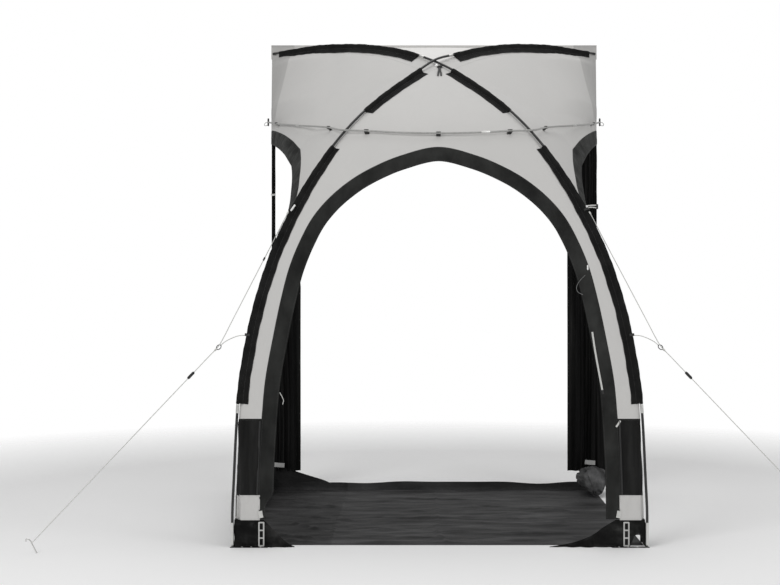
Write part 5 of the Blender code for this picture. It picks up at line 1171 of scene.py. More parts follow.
def build_groundsheet(s):
    """The groundsheet with its upright rear edge, drawn up at the left."""
    front, rear = FRONT_Y + SHEET_FRONT_INSET, REAR_Y - SHEET_REAR_INSET
    y = np.linspace(front, rear, SHEET_ROWS)
    share = np.linspace(-1, 1, 170)
    half = abs(on_side(1, y, 0.0)[..., 0])[:, None] - 0.0022
    x = half * share[None, :]
    drawn = 0.018 * np.clip((y + 0.25) / 0.2, 0, 1) * np.clip((0.75 - y) / 0.1, 0, 1)
    x = x - drawn[:, None] * np.clip(share, 0, 1)[None, :] ** 4
    flat = np.stack(np.broadcast_arrays(x, y[:, None], SHEET_UP), axis=2)
    up = np.linspace(0.06, 1, 12)[:, None]
    x = x[-1]
    wave = 0.006 * drift(np.stack([x, 0 * x, 0 * x], axis=1), (0.35, 1, 1), s.seed + 81)
    rise = np.stack(np.broadcast_arrays(x, rear + 0.0030 * np.sin(up * 1.5),
                                        SHEET_UP + (SHEET_LIP - 0.007 + wave) * up), axis=2)
    rise[..., 2] += up * (0.095 * np.clip((-0.62 - x) / 0.30, 0, 1) ** 0.8)
    rise[..., 1] = np.minimum(rise[..., 1] + 0.0016 * np.abs(np.sin(x * 31)) * up, CLOTH_REAR_Y)
    seed = s.seed + 80
    waves = drift(flat, (0.50, 0.11, 1.0), seed) + 0.6 * drift(flat, (0.22, 0.05, 1.0), seed + 1)
    relief = 0.0026 * np.abs(waves) ** 1.3
    left = np.clip((-0.50 - flat[..., 0]) / 0.05, 0, 1)
    relief += left * 0.0022 * np.abs(drift(flat, (0.12, 0.07, 1.0), seed + 2))
    for x0, y0, x1, y1, depth, width in (
        (-0.515, front, -0.50, rear, 0.0035, 0.007), (-0.005, front, 0.010, rear, 0.0035, 0.007),
        (-0.02, -0.45, 0.045, front + 0.01, 0.0050, 0.012), (-0.90, 0.05, -0.30, -0.30, 0.0045, 0.011),
        (0.15, 0.30, 0.78, 0.10, 0.0045, 0.011), (-0.30, 0.55, 0.30, 0.48, 0.0040, 0.010),
        (0.20, -0.62, 0.70, -0.55, 0.0045, 0.012), (-0.45, -0.60, 0.05, -0.68, 0.0040, 0.012),
        (-0.88, -0.55, -0.56, -0.74, 0.0065, 0.013), (-0.80, -0.20, -0.56, -0.50, 0.0060, 0.012),
        (-0.86, 0.45, -0.52, 0.20, 0.0060, 0.013), (0.30, -0.10, 0.72, -0.28, 0.0040, 0.011),
        (-0.84, -0.76, -0.58, -0.80, 0.0055, 0.010), (-0.40, -0.08, 0.20, -0.15, 0.0045, 0.011),
    ):
        relief += crease(flat, (x0, y0, 0), (x1, y1, 0), 1.6 * depth, width)
    smoothed = 1 - 0.9 * np.clip((flat[..., 0] - 0.68) * 20, 0, 1)
    relief *= hem_fade(relief.shape, (2, 3), (3, 3)) * smoothed
    relief = np.concatenate([relief, np.zeros(rise.shape[:2])])
    cloth("floor_sheet", np.concatenate([flat, rise]), (0, 0, 1), "sheet", relief,
          replaces="groundsheet", thickness=0.0026)


def build_bundle(s):
    """The side door's panel, heaped in the rear corner over the groundsheet's edge."""
    count, around, turns = 70, 260, 2.3
    share = np.linspace(0, 1, count)[:, None]
    t = np.linspace(0, 1, around)[None, :]
    y = REAR_Y - HEAP_INSET - HEAP_LENGTH * share

    def along(values):
        """A size that changes along the heap."""
        p = monotone_curve(list(zip((0, 0.25, 0.60, 0.85, 1), values)), 8)
        return np.interp(share, p[:, 0], p[:, 1])

    crest = HEAP_HEIGHT * along((0.72, 1.0, 0.96, 0.62, 0.30))
    width = HEAP_WIDTH * along((0.85, 1.0, 0.86, 0.58, 0.32))
    turn = -0.5 * math.pi - 2 * math.pi * turns * t
    shrink = 1 - 0.80 * t ** 0.75
    seed = s.seed + 90
    spots = np.stack(np.broadcast_arrays(np.cos(turn) * 0.12, y, np.sin(turn) * 0.12 + 0.1 * t), axis=2)
    fold = 1 - 0.15 * np.abs(drift(spots, (0.075, 0.12, 0.075), seed))
    fold = np.clip(fold - 0.06 * np.abs(drift(spots, (0.035, 0.05, 0.035), seed + 1)), 0.55, 1.0)
    x = HALF_WIDTH + HEAP_OVERHANG - HEAP_WIDTH / 2 + width / 2 * np.cos(turn) * shrink * fold
    lift = 0.5 + 0.5 * np.sin(turn) * shrink * fold
    z = 0.0052 + (crest - 0.002) * lift ** 0.9
    grid = np.stack(np.broadcast_arrays(x, y + 0.008 * np.sin(turn * 1.5 + 9 * t), z), axis=2)
    cloth("gathered_panel", grid, (-1, 0, 0), "bundle", None, thickness=0.0010,
          replaces="gathered_door_panel")


def build_rail(s):
    """The bead in its tape along the top of the rear edge."""
    y, low = REAR_Y - BEAD_R, float(ridge_height(1.0)) - TAPE_DROP
    centre = low + TAPE_HEIGHT + BEAD_R
    sections = []
    for x in np.linspace(-HALF_WIDTH + GAP, HALF_WIDTH - GAP, 160):
        sway = 0.00025 * math.sin(x * 23) + 0.00015 * math.sin(x * 61)
        section = [(y - (TAPE_HALF + sway), low), (y + TAPE_HALF, low)]
        for k in range(17):
            turn = math.radians(-76 + 332 * k / 16)
            rise = (BEAD_R - 0.0002) * math.sin(turn)
            section.append((y + BEAD_R * math.cos(turn), centre - 0.0001 + rise))
        sections.append([Vector((x, p, q)) for p, q in section])
    loft("rail_tape_and_bead", sections, "pale", replaces="rail_bead", smooth=35)


# Poles and sleeves
def along_pole(side, arcs):
    """Places on an arch pole, and the two axes square to it at each."""
    return [pole_point(side, a) for a in arcs], [pole_axes(side, a)[1:] for a in arcs]


def pole_rod(name, side, low, high, finish="pole", replaces=(), radius=POLE_R):
    """A rod that follows an arch pole between two lengths along it."""
    arcs = np.linspace(low, high, max(3, math.ceil((high - low) / 0.02) + 1))
    centres, axes = along_pole(side, arcs)
    return tube(name, centres, radius, finish, replaces, 20, axes)


def ferrule(name, side, low, high):
    """A steel tube over a joint, turned in a little at both ends."""
    arcs = [low, low + 0.0008, low + 0.0022, (low + high) / 2, high - 0.0022, high - 0.0008, high]
    centres, axes = along_pole(side, arcs)
    radii = [*FERRULE_RADII, FERRULE_RADII[-1], *FERRULE_RADII[::-1]]
    return tube(name, centres, radii, "steel", sides=28, axes=axes)


def build_poles(s):
    """The two arch poles, each in three rods with a ferrule over each joint."""
    knee_low, knee = (arc_at_height(height) for height in KNEE_HEIGHTS)
    cross_low, cross, end = (arc_at_share(share) for share in (*CROSSING_SHARES, POLE_END_SHARE))
    rods = (("lower", FOOT_TOP + GAP, knee - GAP), ("middle", knee, cross - GAP),
            ("rear", cross, end))
    for name, side in SIDES.items():
        for part, low, high in rods:
            pole_rod(f"{name}_{part}_rod", side, low, high, replaces=f"{name}_pole_{part}")
        ferrule(f"{name}_knee_ferrule", side, knee_low, knee)
        ferrule(f"{name}_crossing_ferrule", side, cross_low, cross)
        cap = (end - 0.001 - CAP_LENGTH, end + 0.0004)
        pole_rod(f"{name}_tip_cap", side, *cap, "plastic", radius=POLE_R + CAP_WALL)


def ridge_spot(side, arc):
    """The place on the cloth's ridge beside a length along an arch pole."""
    run = float(np.interp(arc, POLE_ARC, RIDGE_PLANE[:, 0])) / DIAGONAL
    height = float(np.interp(arc, POLE_ARC, RIDGE_PLANE[:, 1]))
    return Vector((side * HALF_WIDTH * (1 - 2 * run), FRONT_Y + DEPTH * run, height))


def build_sleeve(name, side, low, high, on_the_side, reach, taper=()):
    """A pocket round the pole with its flat sewn edge lying on the cloth beside it."""
    sections, holes, edge = [], [], []
    arcs = np.linspace(low, high, math.ceil((high - low) / 0.014) + 1)
    start, lift = 0.013, 0.0026 if on_the_side else 0.0010
    bore = POLE_R + POLE_CLEAR
    for arc in map(float, arcs):
        centre, ridge = pole_point(side, arc), ridge_spot(side, arc)
        heading, level, outward = pole_axes(side, arc)
        cloth_side = math.copysign(1, ridge.x)

        def spot(p):
            """The nearest place on the cloth that carries the sleeve, and its normal."""
            if on_the_side:
                place = cloth_side, p.y, p.z
                return Vector(on_side(*place)), Vector(side_normal(*place))
            return Vector(on_front(p.x, p.z)), Vector(front_normal(p.x, p.z))

        near = ridge.copy()
        if on_the_side and ridge.y > MID_Y:
            near.z -= start
        elif on_the_side:
            near.y -= start
        else:
            near.x -= math.copysign(start, ridge.x)
        inside, normal = spot(near)
        away = heading.cross(normal).normalized()
        if away.dot(inside - ridge) < 0:
            away = -away
        width = float(np.interp(high - arc, taper, (start + 0.003, reach))) if taper else reach
        wobble = 0.0012 * math.sin(arc * 31 + side) + 0.0008 * math.sin(arc * 77)
        tip, tip_up = spot(ridge + away * (width + wobble))
        mid, mid_up = spot(ridge + away * start)
        away = (mid - ridge - heading * (mid - ridge).dot(heading)).normalized()
        up = heading.cross(away).normalized()
        if up.dot(mid_up) < 0:
            up = -up
        puff = SLEEVE_R + 0.0010 + 0.0007 * math.sin(arc * 52 + 2 * side)
        puff += 0.0005 * math.sin(arc * 118)
        section = [tip + tip_up * lift, tip + tip_up * (lift + CLOTH)]
        for k in (0.25, 0.5, 0.75):
            between_up = tip_up.lerp(mid_up, k)
            sag = 0.0005 * math.sin(arc * 95 + 3 * k)
            section.append(tip.lerp(mid, k) + between_up * (lift + 0.0012 + sag))
        section.append(mid + mid_up * (lift + 0.0014))
        for degrees in map(float, np.linspace(28, 262 if on_the_side else 250, 22)):
            turn = math.radians(degrees)
            size = puff + 0.0022 * max(0.0, 60 - degrees) / 32
            section.append(centre + size * (math.cos(turn) * away + math.sin(turn) * up))
        section.append(mid + mid_up * lift)
        sections.append(section)
        turns = [2 * math.pi * k / 16 for k in range(16)]
        holes.append([centre + bore * (math.cos(t) * level + math.sin(t) * outward) for t in turns])
        edge.append([tuple(tip.lerp(mid, 0.12) + tip_up * (lift + 0.0014)),
                     tuple(mid + mid_up * (lift + 0.0018))])
    SKIN[name] = np.array(edge)
    loft(name, sections, "sleeve", holes, name.replace("_cloth", ""), 50)


def build_sleeves(s):
    """Three sleeves on each arch pole: two over the front, and one to the rear."""
    knee = arc_at_height(SLEEVE_KNEE)
    low, upper, crossing, past, end = (arc_at_share(share) for share in SLEEVE_SHARES)
    for name, side in SIDES.items():
        build_sleeve(f"{name}_sleeve_lower_cloth", side, knee, low, False, 0.037)
        build_sleeve(f"{name}_sleeve_upper_cloth", side, upper, crossing, False, 0.046)
        build_sleeve(f"{name}_sleeve_rear_cloth", side, past, end, True, 0.044, (0.08, 0.225))


def brow_line():
    """The places that the brow pole passes, from its left end to its right end."""
    start_y = FRONT_Y + DEPTH * float(ridge_share(BROW_HEIGHT))
    end_y = REAR_Y - BROW_END_INSET
    half = []
    for share in BROW_SIDE_SHARES:
        y = start_y + (end_y - start_y) * share
        z = BROW_HEIGHT + (BROW_END_HEIGHT - BROW_HEIGHT) * share
        half.append(Vector(on_side(-1, y, z)) + Vector(side_normal(-1, y, z)) * BROW_STAND)
    arc = arc_at_height(BROW_HEIGHT)
    heading = (pole_point(-1, arc + 0.025) - pole_point(-1, arc - 0.025)).normalized()
    level = Vector((-HALF_WIDTH, -DEPTH / 2, 0)).normalized()
    out = (level - heading * level.dot(heading)).normalized()
    half.append(pole_point(-1, arc) + out * (POLE_R + BROW_R))
    front = []
    for share in BROW_FRONT_SHARES:
        x, z = abs(half[-1].x) * share, BROW_HEIGHT - BROW_DIP * (1 - share * share)
        front.append(Vector(on_front(x, z)) + Vector(front_normal(x, z)) * BROW_STAND)
    return half + front + [Vector((-p.x, p.y, p.z)) for p in reversed(half)]


def build_brow(s):
    """The brow pole, straight where its clips hold it, with three ferrules."""
    coarse = [Vector(p) for p in rounded_curve(brow_line(), 3)]
    stops = [k * 3 for k in BROW_CLIP_STOPS]
    line = []
    for k, point in enumerate(coarse):
        if k in stops:
            reach = (coarse[k + 1] - coarse[k - 1]).normalized() * BROW_CLIP_HALF
            line += [point - reach, point + reach]
        else:
            line.append(point)
    fine = [Vector(p) for p in rounded_curve(line, 5)]
    solids = tuple(f"brow_pole_{part}" for part in ("left", "middle", "right"))
    rounded_tube("brow_rod", fine, BROW_R, "brow", sides=20, replaces=solids)
    run = np.concatenate([[0], np.cumsum([(b - a).length for a, b in zip(fine, fine[1:])])])
    spots = np.array([tuple(p) for p in fine])
    radii = [*BROW_FERRULE_RADII, *BROW_FERRULE_RADII[::-1]]
    for number, x in enumerate(BROW_FERRULE_X, 1):
        at = run[int(np.argmin(abs(spots[:, 0] - x)))]
        marks = np.linspace(at - BROW_FERRULE_HALF, at + BROW_FERRULE_HALF, len(radii))
        centres = [Vector([float(np.interp(m, run, spots[:, k])) for k in range(3)]) for m in marks]
        tube(f"brow_ferrule_{number}", centres, radii, "steel", sides=24)
    SKIN["brow"] = spots


# Cords and what hangs on them
def mirrored(points, side):
    """Points given for the left side, on either side."""
    return [Vector((-side * x, y, z)) for x, y, z in points]


def knot(name, at, heading, radius, finish):
    """A tight stopper knot: three bulging turns of cord."""
    heading = Vector(heading).normalized()
    centres, radii = [], []
    for k in range(19):
        a = k / 18
        centres.append(Vector(at) + heading * (a - 0.5) * 5 * radius)
        turns = 0.82 + 0.18 * math.cos(6 * math.pi * a)
        radii.append(radius * (0.55 + 0.95 * math.sin(math.pi * a) ** 0.6 * turns))
    return tube(name, centres, radii, finish, sides=14)


def pin(name, at, half, radius, finish):
    """A short rounded bar with its middle and half its length given."""
    return rounded_tube(name, [at - half, at, at + half], radius, finish)


def build_cords(s):
    """The two guy lines, each with the short branch from its ring to the sleeve's foot."""
    for name, side in SIDES.items():
        line = [Vector(p) for p in rounded_curve(mirrored(GUY_ROUTE, side), 6)]
        start = knot(f"{name}_top_knot", line[1], line[3] - line[0], 0.0036, "cord")
        before, ring, after = line[RING_STOP - 1:RING_STOP + 2]
        ring_knot = knot(f"{name}_ring_knot", ring, after - before, 0.0034, "cord")
        rope = tube(f"{name}_line_cord", line, CORD_R, "cord", f"{name}_guy_line", 12)
        branch = [Vector(p) for p in rounded_curve(mirrored(BRANCH_ROUTE, side), 6)]
        short = tube(f"{name}_branch_cord", branch, CORD_R, "cord", f"{name}_guy_branch", 12)


def build_guy_fittings(s):
    """What holds the guy lines to the arch poles: black tape loops, and a hook on the left line."""
    for name, side in SIDES.items():
        for label, height, end in GUY_LOOPS:
            arc = arc_at_height(height)
            centre, heading = pole_point(side, arc), pole_axes(side, arc)[0]
            reach = mirrored([end], side)[0] - centre
            reach = (reach - heading * reach.dot(heading)).normalized()
            across = heading.cross(reach)
            centres, ups = [], []
            for degrees in np.linspace(-118, 118, 21):
                turn = math.radians(float(degrees))
                spoke = math.cos(turn) * reach + math.sin(turn) * across
                stretch = 1 + 0.35 * max(0.0, math.cos(turn)) ** 6
                centres.append(centre + spoke * GUY_LOOP_R * stretch)
                ups.append(tuple(spoke))
            ribbon(f"{name}_{label}_guy_loop", centres, ups, 0.012, "webbing", 0.0012)
    at, below = mirrored(GUY_ROUTE[3:5], -1)
    pin("left_line_hook", at, (below - at).normalized() * 0.009, 0.0042, "plastic")


# Fittings
def dress_frame(s):
    """Puts the detailed finishes on the solids that stay as they are."""
    for finish, names in BARE_SOLIDS.items():
        for name in names:
            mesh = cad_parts[name].data
            for k in range(len(mesh.materials)):
                mesh.materials[k] = FINISHES[finish]


def build_ladders(s):
    """The peg ladders at the front corners: strips with three slots."""
    width, height, bar, low, thick = 0.028, 0.114, 0.0062, 0.0032, 0.003
    pitch = (height - bar) / 3
    for name, side in SIDES.items():
        x = side * LADDER_SHARES[name] * HALF_WIDTH
        back = float(on_front(x, height / 2)[1]) - 0.0008
        x0, x1 = x - width / 2, x + width / 2
        bottoms = [low + bar + pitch * k for k in range(3)]
        slots = [rounded_loop(x0 + bar, x1 - bar, z, z + pitch - bar, 0.0022) for z in bottoms]
        plate(f"{name}_ladder_strip", rounded_loop(x0, x1, low, low + height, 0.004), slots,
              lambda a, b, level: Vector((a, back - thick + level, b)), thick, "ladder", 0.0007,
              f"{name}_ladder", f"{name}_peg_ladder")


def circle(x, y, radius):
    """Points round a circle."""
    turns = [math.pi * k / 12 for k in range(24)]
    return [(x + radius * math.cos(turn), y + radius * math.sin(turn)) for turn in turns]


def build_foot_straps(s):
    """The straps that hold the poles' feet, each with a row of eyelets."""
    y0, y1 = FRONT_Y - STRAP_FRONT, FRONT_Y + 0.0074
    middle = (y0 + y1) / 2
    for name, side in SIDES.items():
        inner, outer = side * (HALF_WIDTH - 0.165), side * (HALF_WIDTH + 0.010)
        outline = rounded_loop(min(inner, outer), max(inner, outer), y0, y1, 0.003)
        spots = [side * (HALF_WIDTH - inset) for inset in EYELET_INSETS]
        holes = [circle(side * HALF_WIDTH, FRONT_Y, 0.0048)]
        holes += [circle(x, middle, 0.0034) for x in spots]
        plate(f"{name}_foot_tape", outline, holes,
              lambda a, b, level: Vector((a, b, FLOOR_GAP + level)), 0.0018, "strap", 0.0003,
              replaces=f"{name}_foot_strap")
        for k, x in enumerate(spots, 1):
            hoop(f"{name}_eyelet_{k}", (x, middle, 0.0021), (0, 0, 1), 0.0043, 0.0011, "steel")


def on_cloth(x, z, lift):
    """A place above the front cloth, and the cloth's normal under it."""
    p, n = on_front(x, z), front_normal(x, z)
    return Vector(p) + Vector(n) * lift, tuple(n)


def laid_strap(name, points, width, finish, lift=0.002, thickness=0.0014):
    """A strap laid on the front cloth through points given as (x, z)."""
    spots = [on_cloth(float(x), float(z), lift) for x, z in rounded_curve(points, 8)]
    return ribbon(name, [p for p, _ in spots], [n for _, n in spots], width, finish, thickness)


def laid_cord(name, points, radius, finish):
    """A cord laid on the front cloth through points given as (x, z)."""
    spots = [on_cloth(float(x), float(z), 0.0032)[0] for x, z in rounded_curve(points, 8)]
    return rounded_tube(name, spots, radius, finish, sides=12)


def build_crossing_tie():
    """The knotted tie with two tails, below the place where the arch poles cross."""
    top = float(ridge_height(0.482))
    for k, (foot, sway) in enumerate(((-0.0065, 0.0015), (0.0020, -0.0030)), 1):
        x0 = 0.016 + 0.004 * (1 if k == 2 else -1)
        line = rounded_curve([(x0, top - 0.002), (x0 + foot * 0.3 + sway, top - 0.022),
                              (x0 + foot * 0.7, top - 0.042), (x0 + foot, top - 0.060)], 8)
        spots = [on_cloth(float(x), float(z), 0.0022 + 0.0028 * math.sin(3.0 * i / len(line)))
                 for i, (x, z) in enumerate(line)]
        tail = ribbon(f"crossing_tail_{k}", [p for p, _ in spots], [n for _, n in spots], 0.0090,
                      "webbing", 0.0014)
        if k == 1:
            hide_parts("crossing_tie")
    knot("crossing_knot", on_cloth(0.016, top - 0.001, 0.0052)[0], (1, 0, 0.15), 0.0058, "webbing")


def build_right_strap():
    """The white knob on the right pole, with its two short straps, clip and pull cord."""
    out = Vector((0.95, -0.31, 0.0))
    knob = pole_point(1, arc_at_height(1.592)) + out * (SLEEVE_R + 0.0055)
    pin("right_white_knob", knob, Vector((0, 0, 0.007)), 0.0058, "white")
    for k, drop in enumerate((0.0045, -0.0045), 1):
        a = knob + out * 0.004 + Vector((0, 0, drop))
        end = a + out * 0.044 + Vector((0, 0, drop * 0.4))
        line = rounded_curve([a, a + out * 0.018 + Vector((0, 0, 0.002)), end], 6)
        ribbon(f"right_white_strap_{k}", line, (0, -0.95, 0.3), 0.0055, "tape", 0.0012)
    pin("right_strap_clip", knob + out * 0.050, Vector((0, 0, 0.012)), 0.0048, "plastic")
    steps = ((0, 0, -0.010), (0.014, -0.010, -0.052), (0.038, -0.022, -0.112))
    line = [Vector(p) for p in rounded_curve([knob + Vector(step) for step in steps], 8)]
    rounded_tube("right_pull_cord", line, 0.0016, "cord", sides=12)
    knot("right_pull_end", line[-1], line[-1] - line[-2], 0.0040, "white")


def build_small_pieces(s):
    """Ties, tabs and loops that are too small for solids of their own."""
    build_crossing_tie()
    laid_cord("door_elastic", [(0.690, 1.262), (0.664, 1.236), (0.647, 1.205), (0.652, 1.184),
                               (0.677, 1.169)], 0.0014, "grey_cord")
    laid_strap("door_strap", [(0.716, 0.996), (0.728, 0.905), (0.741, 0.825), (0.759, 0.722)],
               0.0085, "tape")
    laid_strap("door_strap_tip", [(0.758, 0.727), (0.762, 0.708)], 0.0105, "webbing", 0.0024, 0.0020)
    laid_cord("left_door_cord", [(-0.745, 0.716), (-0.733, 0.694), (-0.727, 0.678), (-0.731, 0.660)],
              0.0017, "cord")
    laid_strap("right_leg_tab", [(0.841, 0.585), (0.831, 0.570), (0.821, 0.556)], 0.009, "tape", 0.0026)
    for name, x0, x1, z, inset in HEM_TAPES:
        y = REAR_Y - inset
        middle = ((x0 + x1) / 2, y - 0.003, z)
        line = rounded_curve([(x0, y, z + 0.003), middle, (x1, y, z - 0.002)], 8)
        ribbon(f"{name}_hem_tape", line, [(0, -0.97, 0.24)] * len(line), 0.026, "silver", 0.0016)
    for name, side in SIDES.items():
        line = [(side * 0.834 - side * shift, z) for shift, z in PATCH_TAB]
        laid_strap(f"{name}_patch_tab", line, 0.020, "tape", 0.0030, 0.0016)
        end = Vector(SKIN["brow"][0 if side < 0 else -1]) + Vector((side * 0.012, -0.006, -0.012))
        hoop(f"{name}_brow_loop", end, (0, 1, 0.1), 0.0085, 0.0014, "grey_cord", 1.4,
             (side, 0, -0.8))
    build_right_strap()
    out = Vector((0.20, -0.93, 0.1)).normalized()
    spot = pole_point(-1, arc_at_height(1.585)) + out * (SLEEVE_R + 0.0048)
    pin("left_white_toggle", spot, Vector((0.010, 0.004, 0.015)), 0.0046, "white")
    flap = -(abs(float(on_side(-1, REAR_Y - CURTAIN_INSET, 1.742)[0])) - 0.012)
    tie = [Vector((flap - 0.011, REAR_Y - 0.043, 1.744)), Vector((flap, REAR_Y - 0.0445, 1.741)),
           Vector((flap + 0.012, REAR_Y - 0.043, 1.744))]
    ribbon("left_curtain_tie", rounded_curve(tie, 8), (0, -1, 0), 0.011, "tape", 0.0012)


# Seams
def stitch_tree():
    """Repeats one stitch along a line at a set pitch."""
    tree = bpy.data.node_groups.new("stitch_run", "GeometryNodeTree")
    for name, kind, way in (
        ("Line", "Geometry", "INPUT"), ("Pitch", "Float", "INPUT"), ("Stitch Length", "Float", "INPUT"),
        ("Thread", "Float", "INPUT"), ("Finish", "Material", "INPUT"), ("Stitches", "Geometry", "OUTPUT"),
    ):
        tree.interface.new_socket(name, in_out=way, socket_type=f"NodeSocket{kind}")
    new = tree.nodes.new
    given, out = new("NodeGroupInput"), new("NodeGroupOutput")
    curve, even = new("GeometryNodeMeshToCurve"), new("GeometryNodeResampleCurve")
    even.mode = "LENGTH"
    stitch, spots = new("GeometryNodeMeshCylinder"), new("GeometryNodeInstanceOnPoints")
    stitch.inputs["Vertices"].default_value = 6
    turn, way = new("FunctionNodeAlignRotationToVector"), new("GeometryNodeInputTangent")
    turn.axis = "Z"
    real, paint = new("GeometryNodeRealizeInstances"), new("GeometryNodeSetMaterial")
    for start, output, end, entry in (
        (given, "Line", curve, "Mesh"), (curve, "Curve", even, "Curve"), (given, "Pitch", even, "Length"),
        (even, "Curve", spots, "Points"), (given, "Thread", stitch, "Radius"),
        (given, "Stitch Length", stitch, "Depth"), (stitch, "Mesh", spots, "Instance"),
        (way, "Tangent", turn, "Vector"), (turn, "Rotation", spots, "Rotation"),
        (spots, "Instances", real, "Geometry"), (real, "Geometry", paint, "Geometry"),
        (given, "Finish", paint, "Material"), (paint, "Geometry", out, "Stitches"),
    ):
        tree.links.new(start.outputs[output], end.inputs[entry])
    return tree


def stitched(tree, name, lines, finish, slot, pitch, long, thread=THREAD_R):
    """Rows of stitches, or of zip teeth, along lines of points."""
    mesh = bpy.data.meshes.new(name)
    verts, edges = [], []
    for line in lines:
        start = len(verts)
        verts += [tuple(map(float, p)) for p in line]
        edges += [(k, k + 1) for k in range(start, len(verts) - 1)]
    mesh.from_pydata(verts, edges, [])
    source = link_new(f"{name}_line", mesh)
    run = source.modifiers.new("stitches", "NODES")
    run.node_group = tree
    values = {"Pitch": pitch, "Stitch Length": long, "Thread": thread, "Finish": FINISHES[finish]}
    for item in tree.interface.items_tree:
        if item.in_out == "INPUT" and item.name in values:
            run[item.identifier] = values[item.name]
    bpy.context.view_layer.update()
    seen = source.evaluated_get(bpy.context.evaluated_depsgraph_get())
    done = bpy.data.meshes.new_from_object(seen)
    done.name = name
    source.modifiers.remove(run)
    bpy.data.objects.remove(source)
    bpy.data.meshes.remove(mesh)
    if not len(done.polygons):
        raise RuntimeError(f"no stitches were made for {name}")
    return ride(link_new(name, done))


def build_seams(s):
    """The rows of stitches along the seams, and the zips down the legs."""
    tree = stitch_tree()
    size = s.stitch, s.stitch * 0.62

    def sew(name, skin, toward, slot="pale_cloth", columns=(), rows=(), start=0):
        """Stitches along columns and rows of a finished cloth's grid."""
        grid = SKIN[skin] + grid_normals(SKIN[skin], toward) * STITCH_LIFT
        lines = [grid[:, k] for k in columns] + [grid[k, start:] for k in rows]
        finish = "pale_thread" if slot == "pale_cloth" else "thread"
        stitched(tree, name, lines, finish, slot, *size)

    facing = (0, -1, 0.3)
    sew("doorway_band_stitches", "doorway_band", facing, "dark_trim_cloth", (1, -2))
    sew("front_seam_stitches", "front_cloth", facing, columns=(-3,))
    sew("roof_stitches", "roof_cloth", (0, 0, 1), columns=(2, -3), rows=(-3,))
    for name, side in SIDES.items():
        sew(f"{name}_arch_stitches", f"{name}_arch_band", (side, 0, 0.3), "dark_trim_cloth", (1, -2))
        sew(f"{name}_side_stitches", f"{name}_side_cloth", (side, 0, 0.3), columns=(-3,))
        corner = (side, -1, 0)
        sew(f"{name}_leg_stitches", f"{name}_leg_cloth", corner, "black_cloth", rows=(1, -2))
        sew(f"{name}_patch_stitches", f"{name}_leg_patch_cloth", corner, rows=(1, -2))
        sew(f"{name}_skirt_stitches", f"{name}_skirt", corner, "black_cloth", rows=(1,), start=30)
        tails = [SKIN[f"{name}_sleeve_{part}_cloth"] for part in ("lower", "upper", "rear")]
        lines = [tail[:, k] for tail in tails for k in (0, 1)]
        stitched(tree, f"{name}_sleeve_stitches", lines, "thread", "black_cloth", *size)
        rows = [(side * x, z) for x, z in ZIP_ROUTE]
        laid_strap(f"{name}_zip_tape", rows, 0.0075, "zip", 0.0024, 0.0011)
        teeth = [on_cloth(float(x), float(z), 0.0042)[0] for x, z in rounded_curve(rows, 20)]
        stitched(tree, f"{name}_zip_teeth", [teeth], "plastic", "black_plastic", 0.0032, 0.0020, 0.0016)
    sew("floor_sheet_stitches", "floor_sheet", (0, 0, 1), "groundsheet_cloth", rows=(2, SHEET_ROWS - 2))
    low, y = float(ridge_height(1.0)) - 0.012, REAR_Y - BEAD_R - 0.0016
    across = np.linspace(-HALF_WIDTH + 0.01, HALF_WIDTH - 0.01, 120)
    rail = [[(x, y, z) for x in across] for z in (low + 0.030, low + 0.062)]
    stitched(tree, "rail_stitches", rail, "pale_thread", "pale_cloth", *size, 0.0004)


# The studio
def build_floor(s):
    """A pale floor that fades away far from the awning."""
    mesh = bpy.data.meshes.new("floor")
    corners = [(x * FLOOR_HALF, y * FLOOR_HALF, 0) for x, y in ((-1, -1), (1, -1), (1, 1), (-1, 1))]
    mesh.from_pydata(corners, [], [(0, 1, 2, 3)])
    ground = Finish("studio_floor_finish", 0.9, specular=0.1)
    x, y, _ = ground.axes(ground.place)
    far = ((x * x + y * y) ** 0.5 * 0.45 - 1.25).kept()
    ground.colour(shade(tuple(s.floor), 0.995), tuple(s.floor), ground.noise(7, 4.0))
    kinds = ("BsdfTransparent", "MixShader")
    clear, mix = (ground.tree.nodes.new(f"ShaderNode{kind}") for kind in kinds)
    end = ground.tree.nodes["Material Output"].inputs["Surface"]
    for start, entry in ((far.socket, mix.inputs[0]), (ground.shader.outputs[0], mix.inputs[1]),
                         (clear.outputs[0], mix.inputs[2]), (mix.outputs[0], end)):
        ground.tree.links.new(start, entry)
    mesh.materials.append(ground.made)
    return link_new("floor", mesh)


def build_air():
    """An even white background that lights softly and shows as plain white."""
    world = bpy.data.worlds.new("studio_air")
    world.use_nodes = True
    bpy.context.scene.world = world
    tree = world.node_tree
    air, kinds = tree.nodes["Background"], ("LightPath", "Background", "MixShader", "Math")
    rays, white, blend, either = (tree.nodes.new(f"ShaderNode{kind}") for kind in kinds)
    for shown, strength in ((air, AIR_STRENGTH), (white, 1.0)):
        shown.inputs["Color"].default_value = (1, 1, 1, 1)
        shown.inputs["Strength"].default_value = strength
    either.operation = "MAXIMUM"
    end = tree.nodes["World Output"].inputs["Surface"]
    for start, entry in (
        (rays.outputs["Is Camera Ray"], either.inputs[0]),
        (rays.outputs["Is Transmission Ray"], either.inputs[1]),
        (either.outputs[0], blend.inputs[0]), (air.outputs[0], blend.inputs[1]),
        (white.outputs[0], blend.inputs[2]), (blend.outputs[0], end),
    ):
        tree.links.new(start, entry)


